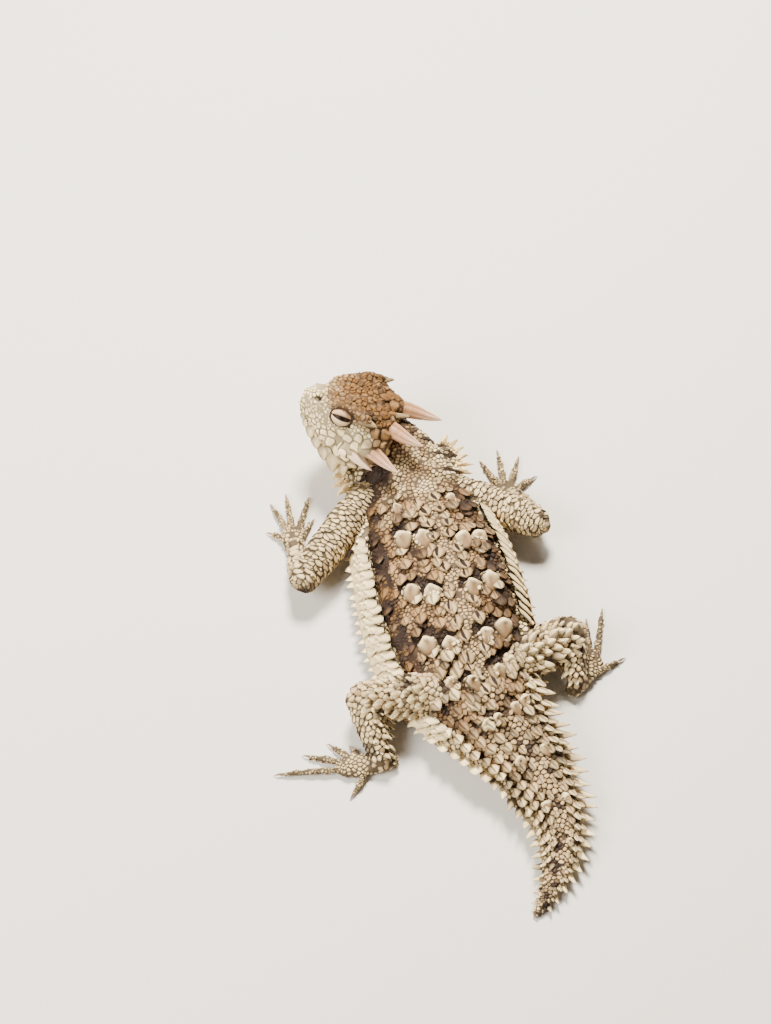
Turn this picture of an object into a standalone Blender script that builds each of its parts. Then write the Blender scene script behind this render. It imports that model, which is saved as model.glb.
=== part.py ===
"""A horned lizard at life size, resting on its belly and tail with its head turned to its left.

The animal faces +Y, its right side is +X and the floor is z = 0. The origin is on the flat of the belly.
Lengths are written in millimetres, and become metres as each mesh is made.
"""
import math

import bmesh
import bpy
import numpy as np
from mathutils import Matrix

MM = 0.001
GAP = 0.3                # kept between neighbouring pieces
SINK = 0.7               # how deep a scale or spine is rooted
SPINE_CLEARANCE = 0.75   # between a spine's own points and a neighbouring piece
MIN_SPINE_DEPTH = 0.7
SHARP_ANGLE = 40         # degrees; edges that bend less are shaded smooth
SOLVER = "EXACT"

# The head: turned to the left, nose a little up, left cheek rolled up. Its own frame has x to its right,
# y to the snout and z to the crown, from the joint with the neck.
HEAD_JOINT = (-3.6, 50.7, 16.5)
HEAD_YAW, HEAD_PITCH, HEAD_ROLL = 61.1, 10.0, 20.6
HEAD_LENGTH = 23.0

# Neck, torso and tail are one line of stations, from inside the head to the tail's tip:
# middle x, y, z at the widest level, half width, rise to the back, drop to the belly, roll in degrees.
TRUNK = (
    (-8.5, 52.4, 15.4, 6.4, 5.2, 5.6, 22),
    (-3.6, 48.6, 12.9, 7.4, 5.2, 6.2, 12),
    (-1.8, 41.6, 9.8, 11.0, 5.9, 7.0, 3),
    (-1.9, 34.5, 7.3, 14.8, 7.5, 7.4, 0),
    (-1.8, 26.0, 5.7, 17.3, 9.9, 6.2, 0),
    (-1.7, 16.0, 5.1, 18.7, 11.7, 5.6, 0),
    (-1.8, 6.0, 4.9, 19.3, 12.3, 5.4, 0),
    (-1.7, -4.0, 4.9, 18.9, 11.9, 5.4, 0),
    (-1.2, -13.0, 5.0, 17.4, 10.2, 5.4, 0),
    (0.8, -21.0, 4.8, 14.8, 8.2, 5.2, 0),
    (3.7, -28.5, 4.3, 11.9, 6.5, 4.7, 0),
    (7.2, -37.0, 3.8, 9.2, 5.2, 4.2, 0),
    (9.7, -46.0, 3.2, 7.2, 4.2, 3.5, 0),
    (10.7, -54.5, 2.6, 5.4, 3.4, 2.9, 0),
    (8.8, -62.5, 2.0, 3.8, 2.6, 2.2, 0),
    (4.9, -69.5, 1.4, 2.3, 1.8, 1.5, 0),
    (0.4, -75.0, 0.8, 0.9, 0.8, 0.85, 0),
)
NECK_END, TORSO_END, TAIL_ROOT_END, TAIL_MIDDLE_END = 2.25, 9.7, 11.9, 13.8   # stations where it is parted
TAIL_TIP = len(TRUNK) - 1.0
STATION_PITCH = 8.5                  # rough distance between stations
SLACK = GAP / 2 / STATION_PITCH      # half a gap, in stations
CUT_MARGIN = 0.2                     # stations kept free of spines on both sides of a cut
BACK_LEAN = 3.2      # the ridge of the back stands this far to the right of the middle
BACK_SQUARE, BELLY_SQUARE = 2.1, 2.9
NECK_FOLDS = (((-12.6, 45.0, 7.2), (5.0, 6.0, 4.4)), ((7.2, 43.6, 7.6), (4.6, 6.0, 4.4)))

# Head sections: forward, throat z, jaw half width, lip z and half width, cheek z and half width,
# brow z and half width, crown z.
HEAD = (
    (0.0, -7.6, 5.6, -4.2, 8.6, 0.6, 9.2, 3.6, 7.0, 4.6),
    (3.0, -9.2, 6.8, -5.6, 9.8, -1.0, 10.1, 5.9, 8.2, 6.6),
    (6.5, -10.0, 7.4, -7.0, 10.0, -1.6, 9.8, 7.1, 8.3, 7.4),
    (10.0, -9.6, 7.0, -6.95, 9.0, -1.2, 8.4, 7.3, 7.3, 7.5),
    (13.5, -8.2, 5.9, -5.35, 7.5, -0.2, 7.2, 6.3, 6.5, 6.8),
    (17.0, -6.2, 4.3, -3.6, 5.5, 1.0, 5.4, 5.4, 4.7, 6.0),
    (19.8, -4.5, 2.7, -2.55, 3.2, 1.2, 3.7, 4.2, 3.1, 5.0),
    (21.9, -3.1, 1.1, -2.05, 1.3, 0.9, 2.2, 2.9, 1.7, 3.6),
)
SNOUT_TIP_Z = 0.5
LIP_LINE = ((9.0, 10.2, -6.9), (8.3, 11.9, -6.2), (7.5, 13.5, -5.35), (6.5, 15.4, -4.4), (5.5, 17.0, -3.6),
            (4.3, 18.6, -3.0), (3.2, 19.8, -2.55), (2.2, 20.9, -2.2), (1.2, 21.9, -2.05))
BROW_LINE = ((4.2, 18.2, 4.4), (4.9, 16.7, 4.9), (6.5, 13.4, 6.0), (7.3, 10.0, 7.1), (8.5, 6.9, 7.2),
             (10.3, 3.7, 6.6))
BROW_RADII = (0.35, 0.7, 0.95, 1.1, 1.15)

EYE = (5.6, 12.0, 2.95)      # right side; the left is its mirror
EYE_RADIUS = 2.6
LID_INNER, LID_OUTER = 2.9, 3.55
GAZE = (0.79, 0.0, 0.61)     # where the slit between the lids faces
SLIT_HALF_LENGTH, SLIT_HALF_HEIGHT = 2.55, 0.55
NOSTRIL = (2.55, 18.8, 4.75)
EAR = (9.3, 4.6, -5.4)

# Horns in the head's frame: name, root, tip, width and depth at the root; x is negative on the left.
HORNS = (
    ("occipital_left", (-4.1, 0.6, 3.2), (-6.4, -8.4, 3.1), 4.4, 3.9),
    ("occipital_right", (4.1, 0.2, 3.4), (6.5, -10.9, 2.7), 4.4, 3.9),
    ("temporal_left", (-9.0, 3.2, -0.8), (-12.9, -4.7, -1.8), 4.4, 3.0),
    ("temporal_right", (9.0, 3.2, -0.8), (12.9, -4.7, -1.8), 4.4, 3.0),
    ("cheek_left", (-9.0, 7.4, -2.6), (-12.6, 1.3, -3.9), 4.6, 2.4),
    ("cheek_right", (9.0, 7.4, -2.6), (12.6, 1.3, -3.9), 4.6, 2.4),
)
# Pointed plates under the lower lip and on the jaw's corner, right side: root, tip, width, thickness.
JAW_PLATES = (
    ((4.2, 18.4, -4.2), (5.3, 18.0, -5.4), 1.7, 0.9),
    ((5.3, 16.6, -5.2), (6.6, 16.0, -6.9), 1.9, 0.9),
    ((6.5, 14.6, -6.2), (7.8, 14.0, -8.2), 2.1, 1.0),
    ((7.6, 12.6, -7.2), (8.8, 12.0, -9.2), 2.2, 1.0),
    ((8.4, 10.4, -8.1), (9.7, 9.8, -10.4), 2.9, 1.2),
    ((8.9, 7.8, -8.2), (10.2, 6.9, -9.7), 2.4, 1.1),
    ((9.5, 8.6, -4.2), (10.9, 6.7, -4.8), 2.2, 1.1),
)

# Limbs: shoulder or hip, elbow or knee, wrist or ankle.
LEFT_ARM = ((-13.0, 38.0, 8.8), (-31.4, 20.6, 7.0), (-31.4, 32.6, 2.6))
RIGHT_ARM = ((8.0, 36.0, 8.6), (25.0, 23.4, 7.0), (22.9, 34.6, 2.6))
LEFT_LEG = ((-6.0, -17.6, 7.4), (-25.0, -15.6, 7.5), (-24.6, -29.0, 3.0))
RIGHT_LEG = ((7.0, -14.6, 7.4), (24.6, -8.8, 7.5), (24.8, -18.6, 3.0))
UPPER_ARM_RADII = ((0.0, 3.9), (0.35, 4.5), (0.7, 4.5), (1.0, 3.7))
FOREARM_RADII = ((0.0, 3.3), (0.35, 3.4), (0.7, 2.7), (1.0, 2.0))
THIGH_RADII = ((0.0, 6.2), (0.35, 5.9), (0.7, 5.2), (1.0, 4.5))
SHIN_RADII = ((0.0, 4.2), (0.3, 4.1), (0.7, 3.1), (1.0, 2.3))
ARM_RADII = (UPPER_ARM_RADII, FOREARM_RADII)
LEG_RADII = (THIGH_RADII, SHIN_RADII)

# Hands and feet: where the palm ends, its half width, then each digit's root and tip on the floor plan.
LEFT_HAND = ((-31.2, 36.8), 2.9, (
    ((-29.0, 35.6), (-25.0, 40.2)), ((-29.6, 37.2), (-24.9, 46.6)), ((-30.8, 37.8), (-30.2, 48.8)),
    ((-32.0, 37.4), (-34.4, 46.8)), ((-33.0, 35.8), (-37.0, 39.0))))
RIGHT_HAND = ((21.9, 38.2), 2.9, (
    ((19.8, 36.6), (17.2, 41.6)), ((20.5, 38.2), (17.6, 47.6)), ((21.7, 39.0), (22.4, 49.8)),
    ((23.0, 38.6), (27.2, 46.8)), ((24.0, 37.2), (30.0, 40.2))))
LEFT_FOOT = ((-32.6, -28.2), 3.0, (
    ((-29.4, -26.2), (-30.6, -22.4)), ((-31.6, -25.8), (-35.4, -20.8)), ((-33.4, -26.8), (-41.6, -22.6)),
    ((-34.2, -28.6), (-49.0, -26.2)), ((-29.0, -31.4), (-33.4, -36.2))))
RIGHT_FOOT = ((29.8, -13.2), 3.0, (
    ((27.2, -13.6), (25.4, -8.6)), ((28.2, -12.2), (27.6, -3.6)), ((29.8, -11.4), (31.4, -1.4)),
    ((31.2, -12.2), (35.9, 0.5)), ((30.4, -16.6), (37.6, -14.0))))
# Along the palm from the wrist: share of its length, share of its half width, half height.
PALM_SECTIONS = ((-0.5, 0.55, 0.8), (-0.1, 0.85, 1.6), (0.5, 1.0, 1.5), (1.0, 0.95, 1.2), (1.25, 0.6, 0.8))
DIGIT_RADIUS = 1.05
DIGIT_SECTIONS = ((-0.12, 0.9), (0.35, 1.0), (0.9, 0.78), (1.0, 0.5))   # share of length, of radius
CLAW_LENGTH = 1.9

# Rows of spines along both sides of the trunk: height on the side (0 is the edge, 90 the ridge of
# the back), spacing, lean towards the tail, then station, length, width and thickness at each knot.
SPINE_ROWS = (
    (4, 2.5, 0.5, ((2.9, 1.8, 1.9, 0.9), (4.5, 2.9, 2.2, 0.9), (8.0, 2.9, 2.2, 0.9), (9.1, 2.4, 2.2, 0.9))),
    (-26, 3.4, 0.5, ((3.6, 1.5, 1.7, 0.8), (5.0, 1.9, 1.8, 0.8), (8.0, 1.9, 1.8, 0.8), (8.9, 1.4, 1.6, 0.8))),
    (36, 6.2, 0.9, ((3.0, 2.0, 1.8, 1.4), (6.0, 2.5, 1.9, 1.5), (9.4, 2.2, 1.8, 1.4))),
    (54, 5.8, 0.9, ((3.1, 2.2, 2.0, 1.5), (6.0, 2.9, 2.1, 1.6), (9.4, 2.6, 2.0, 1.5))),
    (69, 6.0, 0.9, ((2.9, 2.2, 2.0, 1.5), (6.0, 2.8, 2.1, 1.6), (9.4, 2.6, 2.0, 1.5))),
    (82, 6.2, 1.1, ((3.2, 1.5, 1.5, 1.3), (9.4, 1.8, 1.6, 1.3))),
    (8, 2.7, 0.6, ((9.3, 3.8, 2.6, 1.2), (10.6, 4.3, 2.6, 1.2), (12.5, 3.6, 2.2, 1.0), (14.0, 2.6, 1.6, 0.8),
                   (15.7, 1.3, 1.0, 0.7))),
    (38, 4.0, 0.9, ((9.6, 2.1, 1.8, 1.3), (12.5, 1.7, 1.5, 1.1), (15.2, 0.9, 0.9, 0.7))),
    (70, 4.0, 1.1, ((9.7, 1.8, 1.6, 1.2), (12.5, 1.4, 1.3, 1.0), (15.2, 0.8, 0.8, 0.7))),
)
# Spines of the neck's folds: direction from the fold's middle, right side, with length.
FOLD_SPINES = (((1.0, -0.1, 0.25), 3.0), ((0.8, 0.75, 0.1), 2.4), ((0.8, -0.8, 0.35), 3.0),
               ((0.7, 0.3, 0.8), 2.6), ((0.55, -0.45, 0.9), 2.8))
# Spines of the limbs: share of the length, height on the rear side in degrees, length.
THIGH_SPINES = ((0.5, 10, 2.4), (0.7, 12, 2.4), (0.9, 10, 2.2), (0.62, 45, 2.0), (0.82, 45, 2.0),
                (0.74, 85, 1.7), (0.93, 80, 1.7))
SHIN_SPINES = ((0.3, 20, 2.0), (0.5, 15, 2.0), (0.7, 15, 1.7), (0.4, 60, 1.5), (0.6, 60, 1.4))
UPPER_ARM_SPINES = ((0.6, 30, 1.6), (0.78, 25, 1.7), (0.95, 20, 1.7), (0.7, 75, 1.3), (0.88, 70, 1.3))
FOREARM_SPINES = ((0.3, 150, 1.3), (0.55, 150, 1.2))
ARM_SPINES = (UPPER_ARM_SPINES, FOREARM_SPINES)
LEG_SPINES = (THIGH_SPINES, SHIN_SPINES)

# Colours as red, green, blue, with roughness.
SAND = ((0.55, 0.44, 0.32), 0.85)
HORN_TAN = ((0.62, 0.42, 0.31), 0.55)
EYE_DARK = ((0.03, 0.02, 0.015), 0.15)


def unit(v):
    """The direction of v."""
    v = np.asarray(v, float)
    return v / np.linalg.norm(v)


def along(table, t):
    """A row of the table at the real-valued station t, on a smooth curve through the rows."""
    rows = np.asarray(table, float)
    last = len(rows) - 1
    t = min(max(t, 0.0), float(last))
    i = min(int(t), last - 1)
    u = t - i
    b, c = rows[i], rows[i + 1]
    a = rows[i - 1] if i else 2 * b - c
    d = rows[i + 2] if i + 2 <= last else 2 * c - b
    return 0.5 * (2 * b + (c - a) * u + (2 * a - 5 * b + 4 * c - d) * u**2 + (3 * b - 3 * c + d - a) * u**3)


def closed_curve(points, per_span):
    """Points on a smooth closed curve through the given ones."""
    p = np.asarray(points, float)
    a, c, d = np.roll(p, 1, 0), np.roll(p, -1, 0), np.roll(p, -2, 0)
    out = []
    for i in range(len(p)):
        for k in range(per_span):
            u = k / per_span
            bend = (2 * a[i] - 5 * p[i] + 4 * c[i] - d[i]) * u**2 + (3 * p[i] - 3 * c[i] + d[i] - a[i]) * u**3
            out.append(0.5 * (2 * p[i] + (c[i] - a[i]) * u + bend))
    return np.array(out)


def head_matrix():
    """Turns the head's own frame into the animal's."""
    yaw = Matrix.Rotation(math.radians(HEAD_YAW), 3, "Z")
    pitch = Matrix.Rotation(math.radians(HEAD_PITCH), 3, "X")
    roll = Matrix.Rotation(math.radians(HEAD_ROLL), 3, "Y")
    return np.array(yaw @ pitch @ roll)


def from_head(points):
    """Points of the head's frame in the animal's frame."""
    return np.atleast_2d(points) @ head_matrix().T + HEAD_JOINT


def material(name, look, cache={}):
    """One Principled material for each name."""
    if name not in cache:
        made = bpy.data.materials.new(name)
        made.use_nodes = True
        shader = made.node_tree.nodes["Principled BSDF"]
        shader.inputs["Base Color"].default_value = (*look[0], 1.0)
        shader.inputs["Roughness"].default_value = look[1]
        made.diffuse_color = (*look[0], 1.0)
        cache[name] = made
    return cache[name]


def solid(name, verts, faces, look=None):
    """A closed mesh object from points in millimetres, its faces turned outwards."""
    mesh = bpy.data.meshes.new(name)
    mesh.from_pydata([tuple(v) for v in np.asarray(verts) * MM], [], faces)
    work = bmesh.new()
    work.from_mesh(mesh)
    bmesh.ops.recalc_face_normals(work, faces=work.faces)
    bmesh.ops.triangulate(work, faces=work.faces)
    work.to_mesh(mesh)
    work.free()
    made = bpy.data.objects.new(name, mesh)
    bpy.context.scene.collection.objects.link(made)
    if look:
        mesh.materials.append(material(*look))
    return made


def loft(rings, first_tip=None, last_tip=None):
    """Vertices and faces of a skin over equal rings, each end closed by a fan."""
    rings = [np.asarray(r, float) for r in rings]
    n = len(rings[0])
    verts = np.concatenate(rings)
    faces = []
    for r in range(len(rings) - 1):
        for k in range(n):
            j = (k + 1) % n
            faces.append((r * n + k, r * n + j, (r + 1) * n + j, (r + 1) * n + k))
    ends = ((0, first_tip, rings[0]), ((len(rings) - 1) * n, last_tip, rings[-1]))
    for base, tip, ring in ends:
        verts = np.vstack([verts, ring.mean(0) if tip is None else tip])
        hub = len(verts) - 1
        faces += [(base + k, base + (k + 1) % n, hub) for k in range(n)]
    return verts, faces


def trunk_frame(t):
    """Middle, right and up directions, and the row of sizes at station t."""
    row = along(TRUNK, t)
    step = 0.02
    back = unit(along(TRUNK, t + step)[:3] - along(TRUNK, t - step)[:3])
    side = unit(np.cross((0, 0, 1), back))
    up = np.cross(back, side)
    turn = math.radians(row[6])
    side, up = side * math.cos(turn) - up * math.sin(turn), up * math.cos(turn) + side * math.sin(turn)
    return row[:3], side, up, row


def trunk_point(t, angle, grow=0.0):
    """A point on the trunk: angle 0 is the right edge, 90 the back, 180 the left edge, 270 the belly."""
    middle, side, up, row = trunk_frame(t)
    c, s = math.cos(math.radians(angle)), math.sin(math.radians(angle))
    square = BACK_SQUARE if s > 0 else BELLY_SQUARE
    across = math.copysign(abs(c) ** (2 / square), c) * (row[3] + grow)
    height = math.copysign(abs(s) ** (2 / square), s) * ((row[4] if s > 0 else row[5]) + grow)
    lean = BACK_LEAN * max(height, 0.0) / 12.0
    point = middle + side * (across + lean) + up * height
    point[2] = max(point[2], -grow)
    return point


def trunk_normal(t, angle):
    """The outward direction of the trunk's surface."""
    dt, da = 0.05, 3.0
    ahead = trunk_point(t + dt, angle) - trunk_point(t - dt, angle)
    round_it = trunk_point(t, angle + da) - trunk_point(t, angle - da)
    return unit(np.cross(round_it, ahead))


def trunk_length(name, start, end, rings, look, grow=0.0, sides=28):
    """One length of the trunk between two stations, with flat ends."""
    angles = [360.0 * k / sides for k in range(sides)]
    loops = [[trunk_point(t, angle, grow) for angle in angles] for t in np.linspace(start, end, rings)]
    return solid(name, *loft(loops), look)


def head_section(row, grow=0.0, per_span=2):
    """The closed outline of the head at one station, in the head's frame."""
    forward, throat, jaw, lip_z, lip, cheek_z, cheek, brow_z, brow, crown = row
    half = ((0.55 * jaw, throat + 0.1), (jaw, throat + 0.3 * (lip_z - throat)), (lip, lip_z),
            (cheek, cheek_z), (brow, brow_z), (0.5 * brow, brow_z + 0.8 * (crown - brow_z)))
    right = [(x, z) for x, z in half]
    left = [(-x, z) for x, z in reversed(half)]
    loop = closed_curve([(0, throat)] + right + [(0, crown)] + left, per_span)
    centre = loop.mean(0)
    loop = centre + (loop - centre) * (1 + grow / np.linalg.norm(loop - centre, axis=1))[:, None]
    return np.column_stack([loop[:, 0], np.full(len(loop), forward), loop[:, 1]])


def head_core(name, look, grow=0.0, rings=12):
    """The skull and jaws without horns, scales or openings."""
    stations = len(HEAD) - 1
    rows = [along(HEAD, t) for t in np.linspace(0, stations, rings)]
    rows[0][0] -= grow
    loops = [head_section(row, grow) for row in rows]
    tip = np.array([0, HEAD_LENGTH + grow, SNOUT_TIP_Z])
    verts, faces = loft(loops, last_tip=tip)
    return solid(name, from_head(verts), faces, look)


def tube_frame(path, i):
    """Two directions across a path at its i-th point."""
    a, b = path[max(i - 1, 0)], path[min(i + 1, len(path) - 1)]
    heading = unit(b - a)
    across = np.cross(heading, (0, 0, 1.0))
    across = unit(across) if np.linalg.norm(across) > 1e-6 else np.array([1.0, 0, 0])
    return heading, across, np.cross(across, heading)


def limb(name, start, end, radii, look=None, grow=0.0, rings=9, sides=12):
    """A tapered limb length with rounded ends, its lowest points laid flat on the floor."""
    start, end = np.array(start, float), np.array(end, float)
    length = np.linalg.norm(end - start)
    heading, across, up = tube_frame(np.array([start, end]), 0)
    first, last = radii[0][1] + grow, radii[-1][1] + grow
    spots = [(-first * math.sin(a), first * math.cos(a)) for a in np.radians((65, 32))]
    spots += [(length * u, np.interp(u, *zip(*radii)) + grow) for u in np.linspace(0, 1, rings)]
    spots += [(length + last * math.sin(a), last * math.cos(a)) for a in np.radians((32, 65))]
    loops = []
    for reach, radius in spots:
        middle = start + heading * reach
        loop = [middle + radius * (across * math.cos(a) + up * math.sin(a))
                for a in np.linspace(0, 2 * math.pi, sides, endpoint=False)]
        loops.append(np.maximum(loop, (-1e9, -1e9, -grow)))
    return solid(name, *loft(loops), look)


def cone(points, widths, depths, top, sides=4):
    """Vertices and faces of a tapering spine: oval rings along the points, closed to the last one."""
    points = np.asarray(points, float)
    loops = []
    for i in range(len(points) - 1):
        heading = unit(points[i + 1] - points[max(i - 1, 0)])
        wide = unit(np.cross(heading, top))
        deep = np.cross(wide, heading)
        wide, deep = wide * widths[i] / 2, deep * depths[i] / 2
        loops.append([points[i] + wide * math.cos(a) + deep * math.sin(a)
                      for a in np.linspace(0, 2 * math.pi, sides, endpoint=False)])
    return loft(loops, last_tip=points[-1])


def thorn(root, out, aim, length, width, depth):
    """A four-sided spine with its foot sunk below root and its tip along aim; out crosses its flat side."""
    root, aim = np.asarray(root), unit(aim)
    foot = root - aim * SINK
    tip = root + aim * length
    spread = 1.0 + SINK / length
    return cone([foot, tip], [width * spread], [depth * spread], out)


def obstacles(*left_out):
    """Each limb length and horn as its two ends and its radii along it, for keeping spines clear of them."""
    found = []
    for joints, (upper, lower) in ((LEFT_ARM, ARM_RADII), (RIGHT_ARM, ARM_RADII),
                                   (LEFT_LEG, LEG_RADII), (RIGHT_LEG, LEG_RADII)):
        found += [(joints[0], joints[1], upper), (joints[1], joints[2], lower)]
    for _, root, tip, width, _ in HORNS:
        ends = from_head([root, tip])
        found.append((tuple(ends[0]), tuple(ends[1]), ((0.0, width / 2), (1.0, 0.2))))
    return [item for item in found if item[0] not in left_out]


def is_clear(root, aim, length, width, things):
    """Whether a spine stays away from every one of the things."""
    spread = unit(np.cross(aim, (0, 0, 1.0))) * width / 2
    points = [root, root + spread, root - spread, root + aim * length / 2, root + aim * length]
    for start, end, radii in things:
        start, end = np.array(start), np.array(end)
        for point in points:
            u = np.dot(point - start, end - start) / np.dot(end - start, end - start)
            u = min(max(u, 0.0), 1.0)
            away = np.linalg.norm(point - start - (end - start) * u)
            if away < np.interp(u, *zip(*radii)) + SPINE_CLEARANCE:
                return False
    return True


def even_stations(angle, first, last, spacing):
    """Stations spaced evenly along the surface at one height on the side."""
    spots = np.linspace(first, last, 160)
    line = np.array([trunk_point(t, angle) for t in spots])
    gone = np.concatenate([[0], np.cumsum(np.linalg.norm(np.diff(line, axis=0), axis=1))])
    return np.interp(np.arange(0, gone[-1] + 0.01, spacing), gone, spots)


def trunk_spines(first, last):
    """The spines of the trunk between two stations."""
    things = obstacles()
    shapes = []
    for row_number, (height, spacing, lean, knots) in enumerate(SPINE_ROWS):
        stations, *sizes = zip(*knots)
        for side in (0, 1):
            draw = np.random.default_rng(10 * row_number + side)
            angle = 180 - height if side else height
            offset = 0.5 * spacing / STATION_PITCH * ((row_number + side) % 2)
            for t in even_stations(angle, stations[0] + offset, stations[-1], spacing):
                t = t + draw.uniform(-0.03, 0.03)
                turn = angle + draw.uniform(-2, 2)
                length, width, depth = (np.interp(t, stations, size) * draw.uniform(0.92, 1.1)
                                        for size in sizes)
                if not first + CUT_MARGIN < t < last - CUT_MARGIN:
                    continue
                root, out = trunk_point(t, turn), trunk_normal(t, turn)
                tailward = unit(trunk_point(t + 0.1, turn) - trunk_point(t - 0.1, turn))
                aim = unit(out + tailward * lean + (0, 0, 0.12))
                wide_side = (0, 0, 1.0) if height < 30 else out
                if is_clear(root, aim, length, width, things):
                    shapes.append(thorn(root, wide_side, aim, length, width, max(depth, MIN_SPINE_DEPTH)))
    return shapes


def fold_spines():
    """The spines on the neck's folds of skin, which lean backwards."""
    things = obstacles()
    shapes = []
    for side, (centre, radii) in zip((-1, 1), NECK_FOLDS):
        for direction, length in FOLD_SPINES:
            way = unit(np.array(direction) * (side, 1, 1))
            root = np.array(centre) + way * radii
            aim = unit(way / np.array(radii) * 5 + (0, -0.6, 0.1))
            if is_clear(root, aim, length, 2.0, things):
                shapes.append(thorn(root, (0, 0, 1.0), aim, length, 2.0, 1.1))
    return shapes


def limb_spines(side, start, end, radii, table):
    """Spines on the rear and upper side of a limb length."""
    things = obstacles(start)
    start, end = np.array(start, float), np.array(end, float)
    heading, across, up = tube_frame(np.array([start, end]), 0)
    rear = across if side == "right" else -across
    shapes = []
    for share, height, length in table:
        way = rear * math.cos(math.radians(height)) + up * math.sin(math.radians(height))
        root = start + (end - start) * share + way * np.interp(share, *zip(*radii))
        aim = unit(way + heading * 0.45)
        if is_clear(root, aim, length, 0.5, things):
            shapes.append(thorn(root, way, aim, length, 1.6, 1.1))
    return shapes


def cut_away(target, cutters, operation="DIFFERENCE"):
    """Applies one Boolean with every cutter, and removes them."""
    group = bpy.data.collections.new("tools")
    bpy.context.scene.collection.children.link(group)
    for cutter in cutters:
        bpy.context.scene.collection.objects.unlink(cutter)
        group.objects.link(cutter)
    cut = target.modifiers.new("shape", "BOOLEAN")
    cut.operation, cut.solver = operation, SOLVER
    cut.operand_type, cut.collection = "COLLECTION", group
    graph = bpy.context.evaluated_depsgraph_get()
    made = bpy.data.meshes.new_from_object(target.evaluated_get(graph))
    target.modifiers.clear()
    old, target.data = target.data, made
    bpy.data.meshes.remove(old)
    for cutter in list(group.objects):
        bpy.data.objects.remove(cutter)
    bpy.data.collections.remove(group)
    return target


def keep_largest(target):
    """Keeps only the largest closed surface of a node."""
    work = bmesh.new()
    work.from_mesh(target.data)
    unseen, best = set(work.verts), []
    while unseen:
        stack, piece = [unseen.pop()], []
        while stack:
            vert = stack.pop()
            piece.append(vert)
            for edge in vert.link_edges:
                other = edge.other_vert(vert)
                if other in unseen:
                    unseen.remove(other)
                    stack.append(other)
        best = max(best, piece, key=len)
    kept = set(best)
    bmesh.ops.delete(work, geom=[v for v in work.verts if v not in kept], context="VERTS")
    bmesh.ops.triangulate(work, faces=work.faces)
    work.to_mesh(target.data)
    work.free()
    return target


def joined(target, shapes):
    """Fuses many closed shapes into the target."""
    pieces = [solid("piece", *shape) for shape in shapes]
    return keep_largest(cut_away(target, pieces, "UNION")) if pieces else target


def neck_shape(name, look, grow=0.0):
    """The neck with the loose folds of skin on both sides."""
    neck = trunk_length(name, 0.0, NECK_END - SLACK, 7, look, grow, 20)
    folds = [ball(centre, [r + grow for r in radii], rings=5, sides=10) for centre, radii in NECK_FOLDS]
    return joined(neck, folds)


def build_trunk():
    """Neck, torso and the tail's lengths, with their spines."""
    skin = ("sand_skin", SAND)
    neck = neck_shape("neck", skin)
    torso_tool = trunk_length("tool", NECK_END - SLACK, 6.0, 12, None, GAP)
    horns = [solid("tool", *horn_shape(*horn[1:], GAP)) for horn in HORNS]
    joined(neck, fold_spines())
    cut_away(neck, [head_core("tool", None, GAP), torso_tool] + horns)
    keep_largest(neck)
    lengths = (("torso", NECK_END, TORSO_END, 15, 22), ("tail_root", TORSO_END, TAIL_ROOT_END, 5, 16),
               ("tail_middle", TAIL_ROOT_END, TAIL_MIDDLE_END, 5, 14),
               ("tail_tip", TAIL_MIDDLE_END, TAIL_TIP, 5, 12))
    for name, first, last, rings, sides in lengths:
        end = last if last == TAIL_TIP else last - SLACK
        length = trunk_length(name, first + SLACK, end, rings, skin, 0.0, sides)
        joined(length, trunk_spines(first, last))


def build_limb(side, names, joints, radii, spines, paw):
    """One arm or leg: its upper and lower length and its hand or foot."""
    skin = ("sand_skin", SAND)
    upper_name, lower_name, paw_name = (f"{side}_{n}" for n in names)
    top, bend, end = joints
    upper_radii, lower_radii = radii
    upper = limb(upper_name, top, bend, upper_radii, skin)
    joined(upper, limb_spines(side, top, bend, upper_radii, spines[0]))
    cut_away(upper, [trunk_length("tool", 2.0, 11.5, 20, None, GAP), neck_shape("tool", None, GAP)])
    keep_largest(upper)
    lower = limb(lower_name, bend, end, lower_radii, skin)
    joined(lower, limb_spines(side, bend, end, lower_radii, spines[1]))
    cut_away(lower, [limb("tool", top, bend, upper_radii, None, GAP)])
    keep_largest(lower)
    palm_end, half_width, digits = paw
    wrist = np.array((*end[:2], 1.7))
    knuckle = np.array((*palm_end, 1.2))
    heading, across, _ = tube_frame(np.array([wrist, knuckle]), 0)
    loops = []
    for u, wide, high in PALM_SECTIONS:
        middle = wrist + (knuckle - wrist) * u
        loop = [middle + across * half_width * wide * math.cos(a) + np.array((0, 0, high)) * math.sin(a)
                for a in np.linspace(0, 2 * math.pi, 10, endpoint=False)]
        loops.append(np.maximum(loop, (-1e9, -1e9, 0.0)))
    hand = solid(paw_name, *loft(loops), skin)
    joined(hand, [shape for root, tip in digits for shape in digit(root, tip)])
    cut_away(hand, [limb("tool", bend, end, lower_radii, None, GAP)])
    keep_largest(hand)


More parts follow.
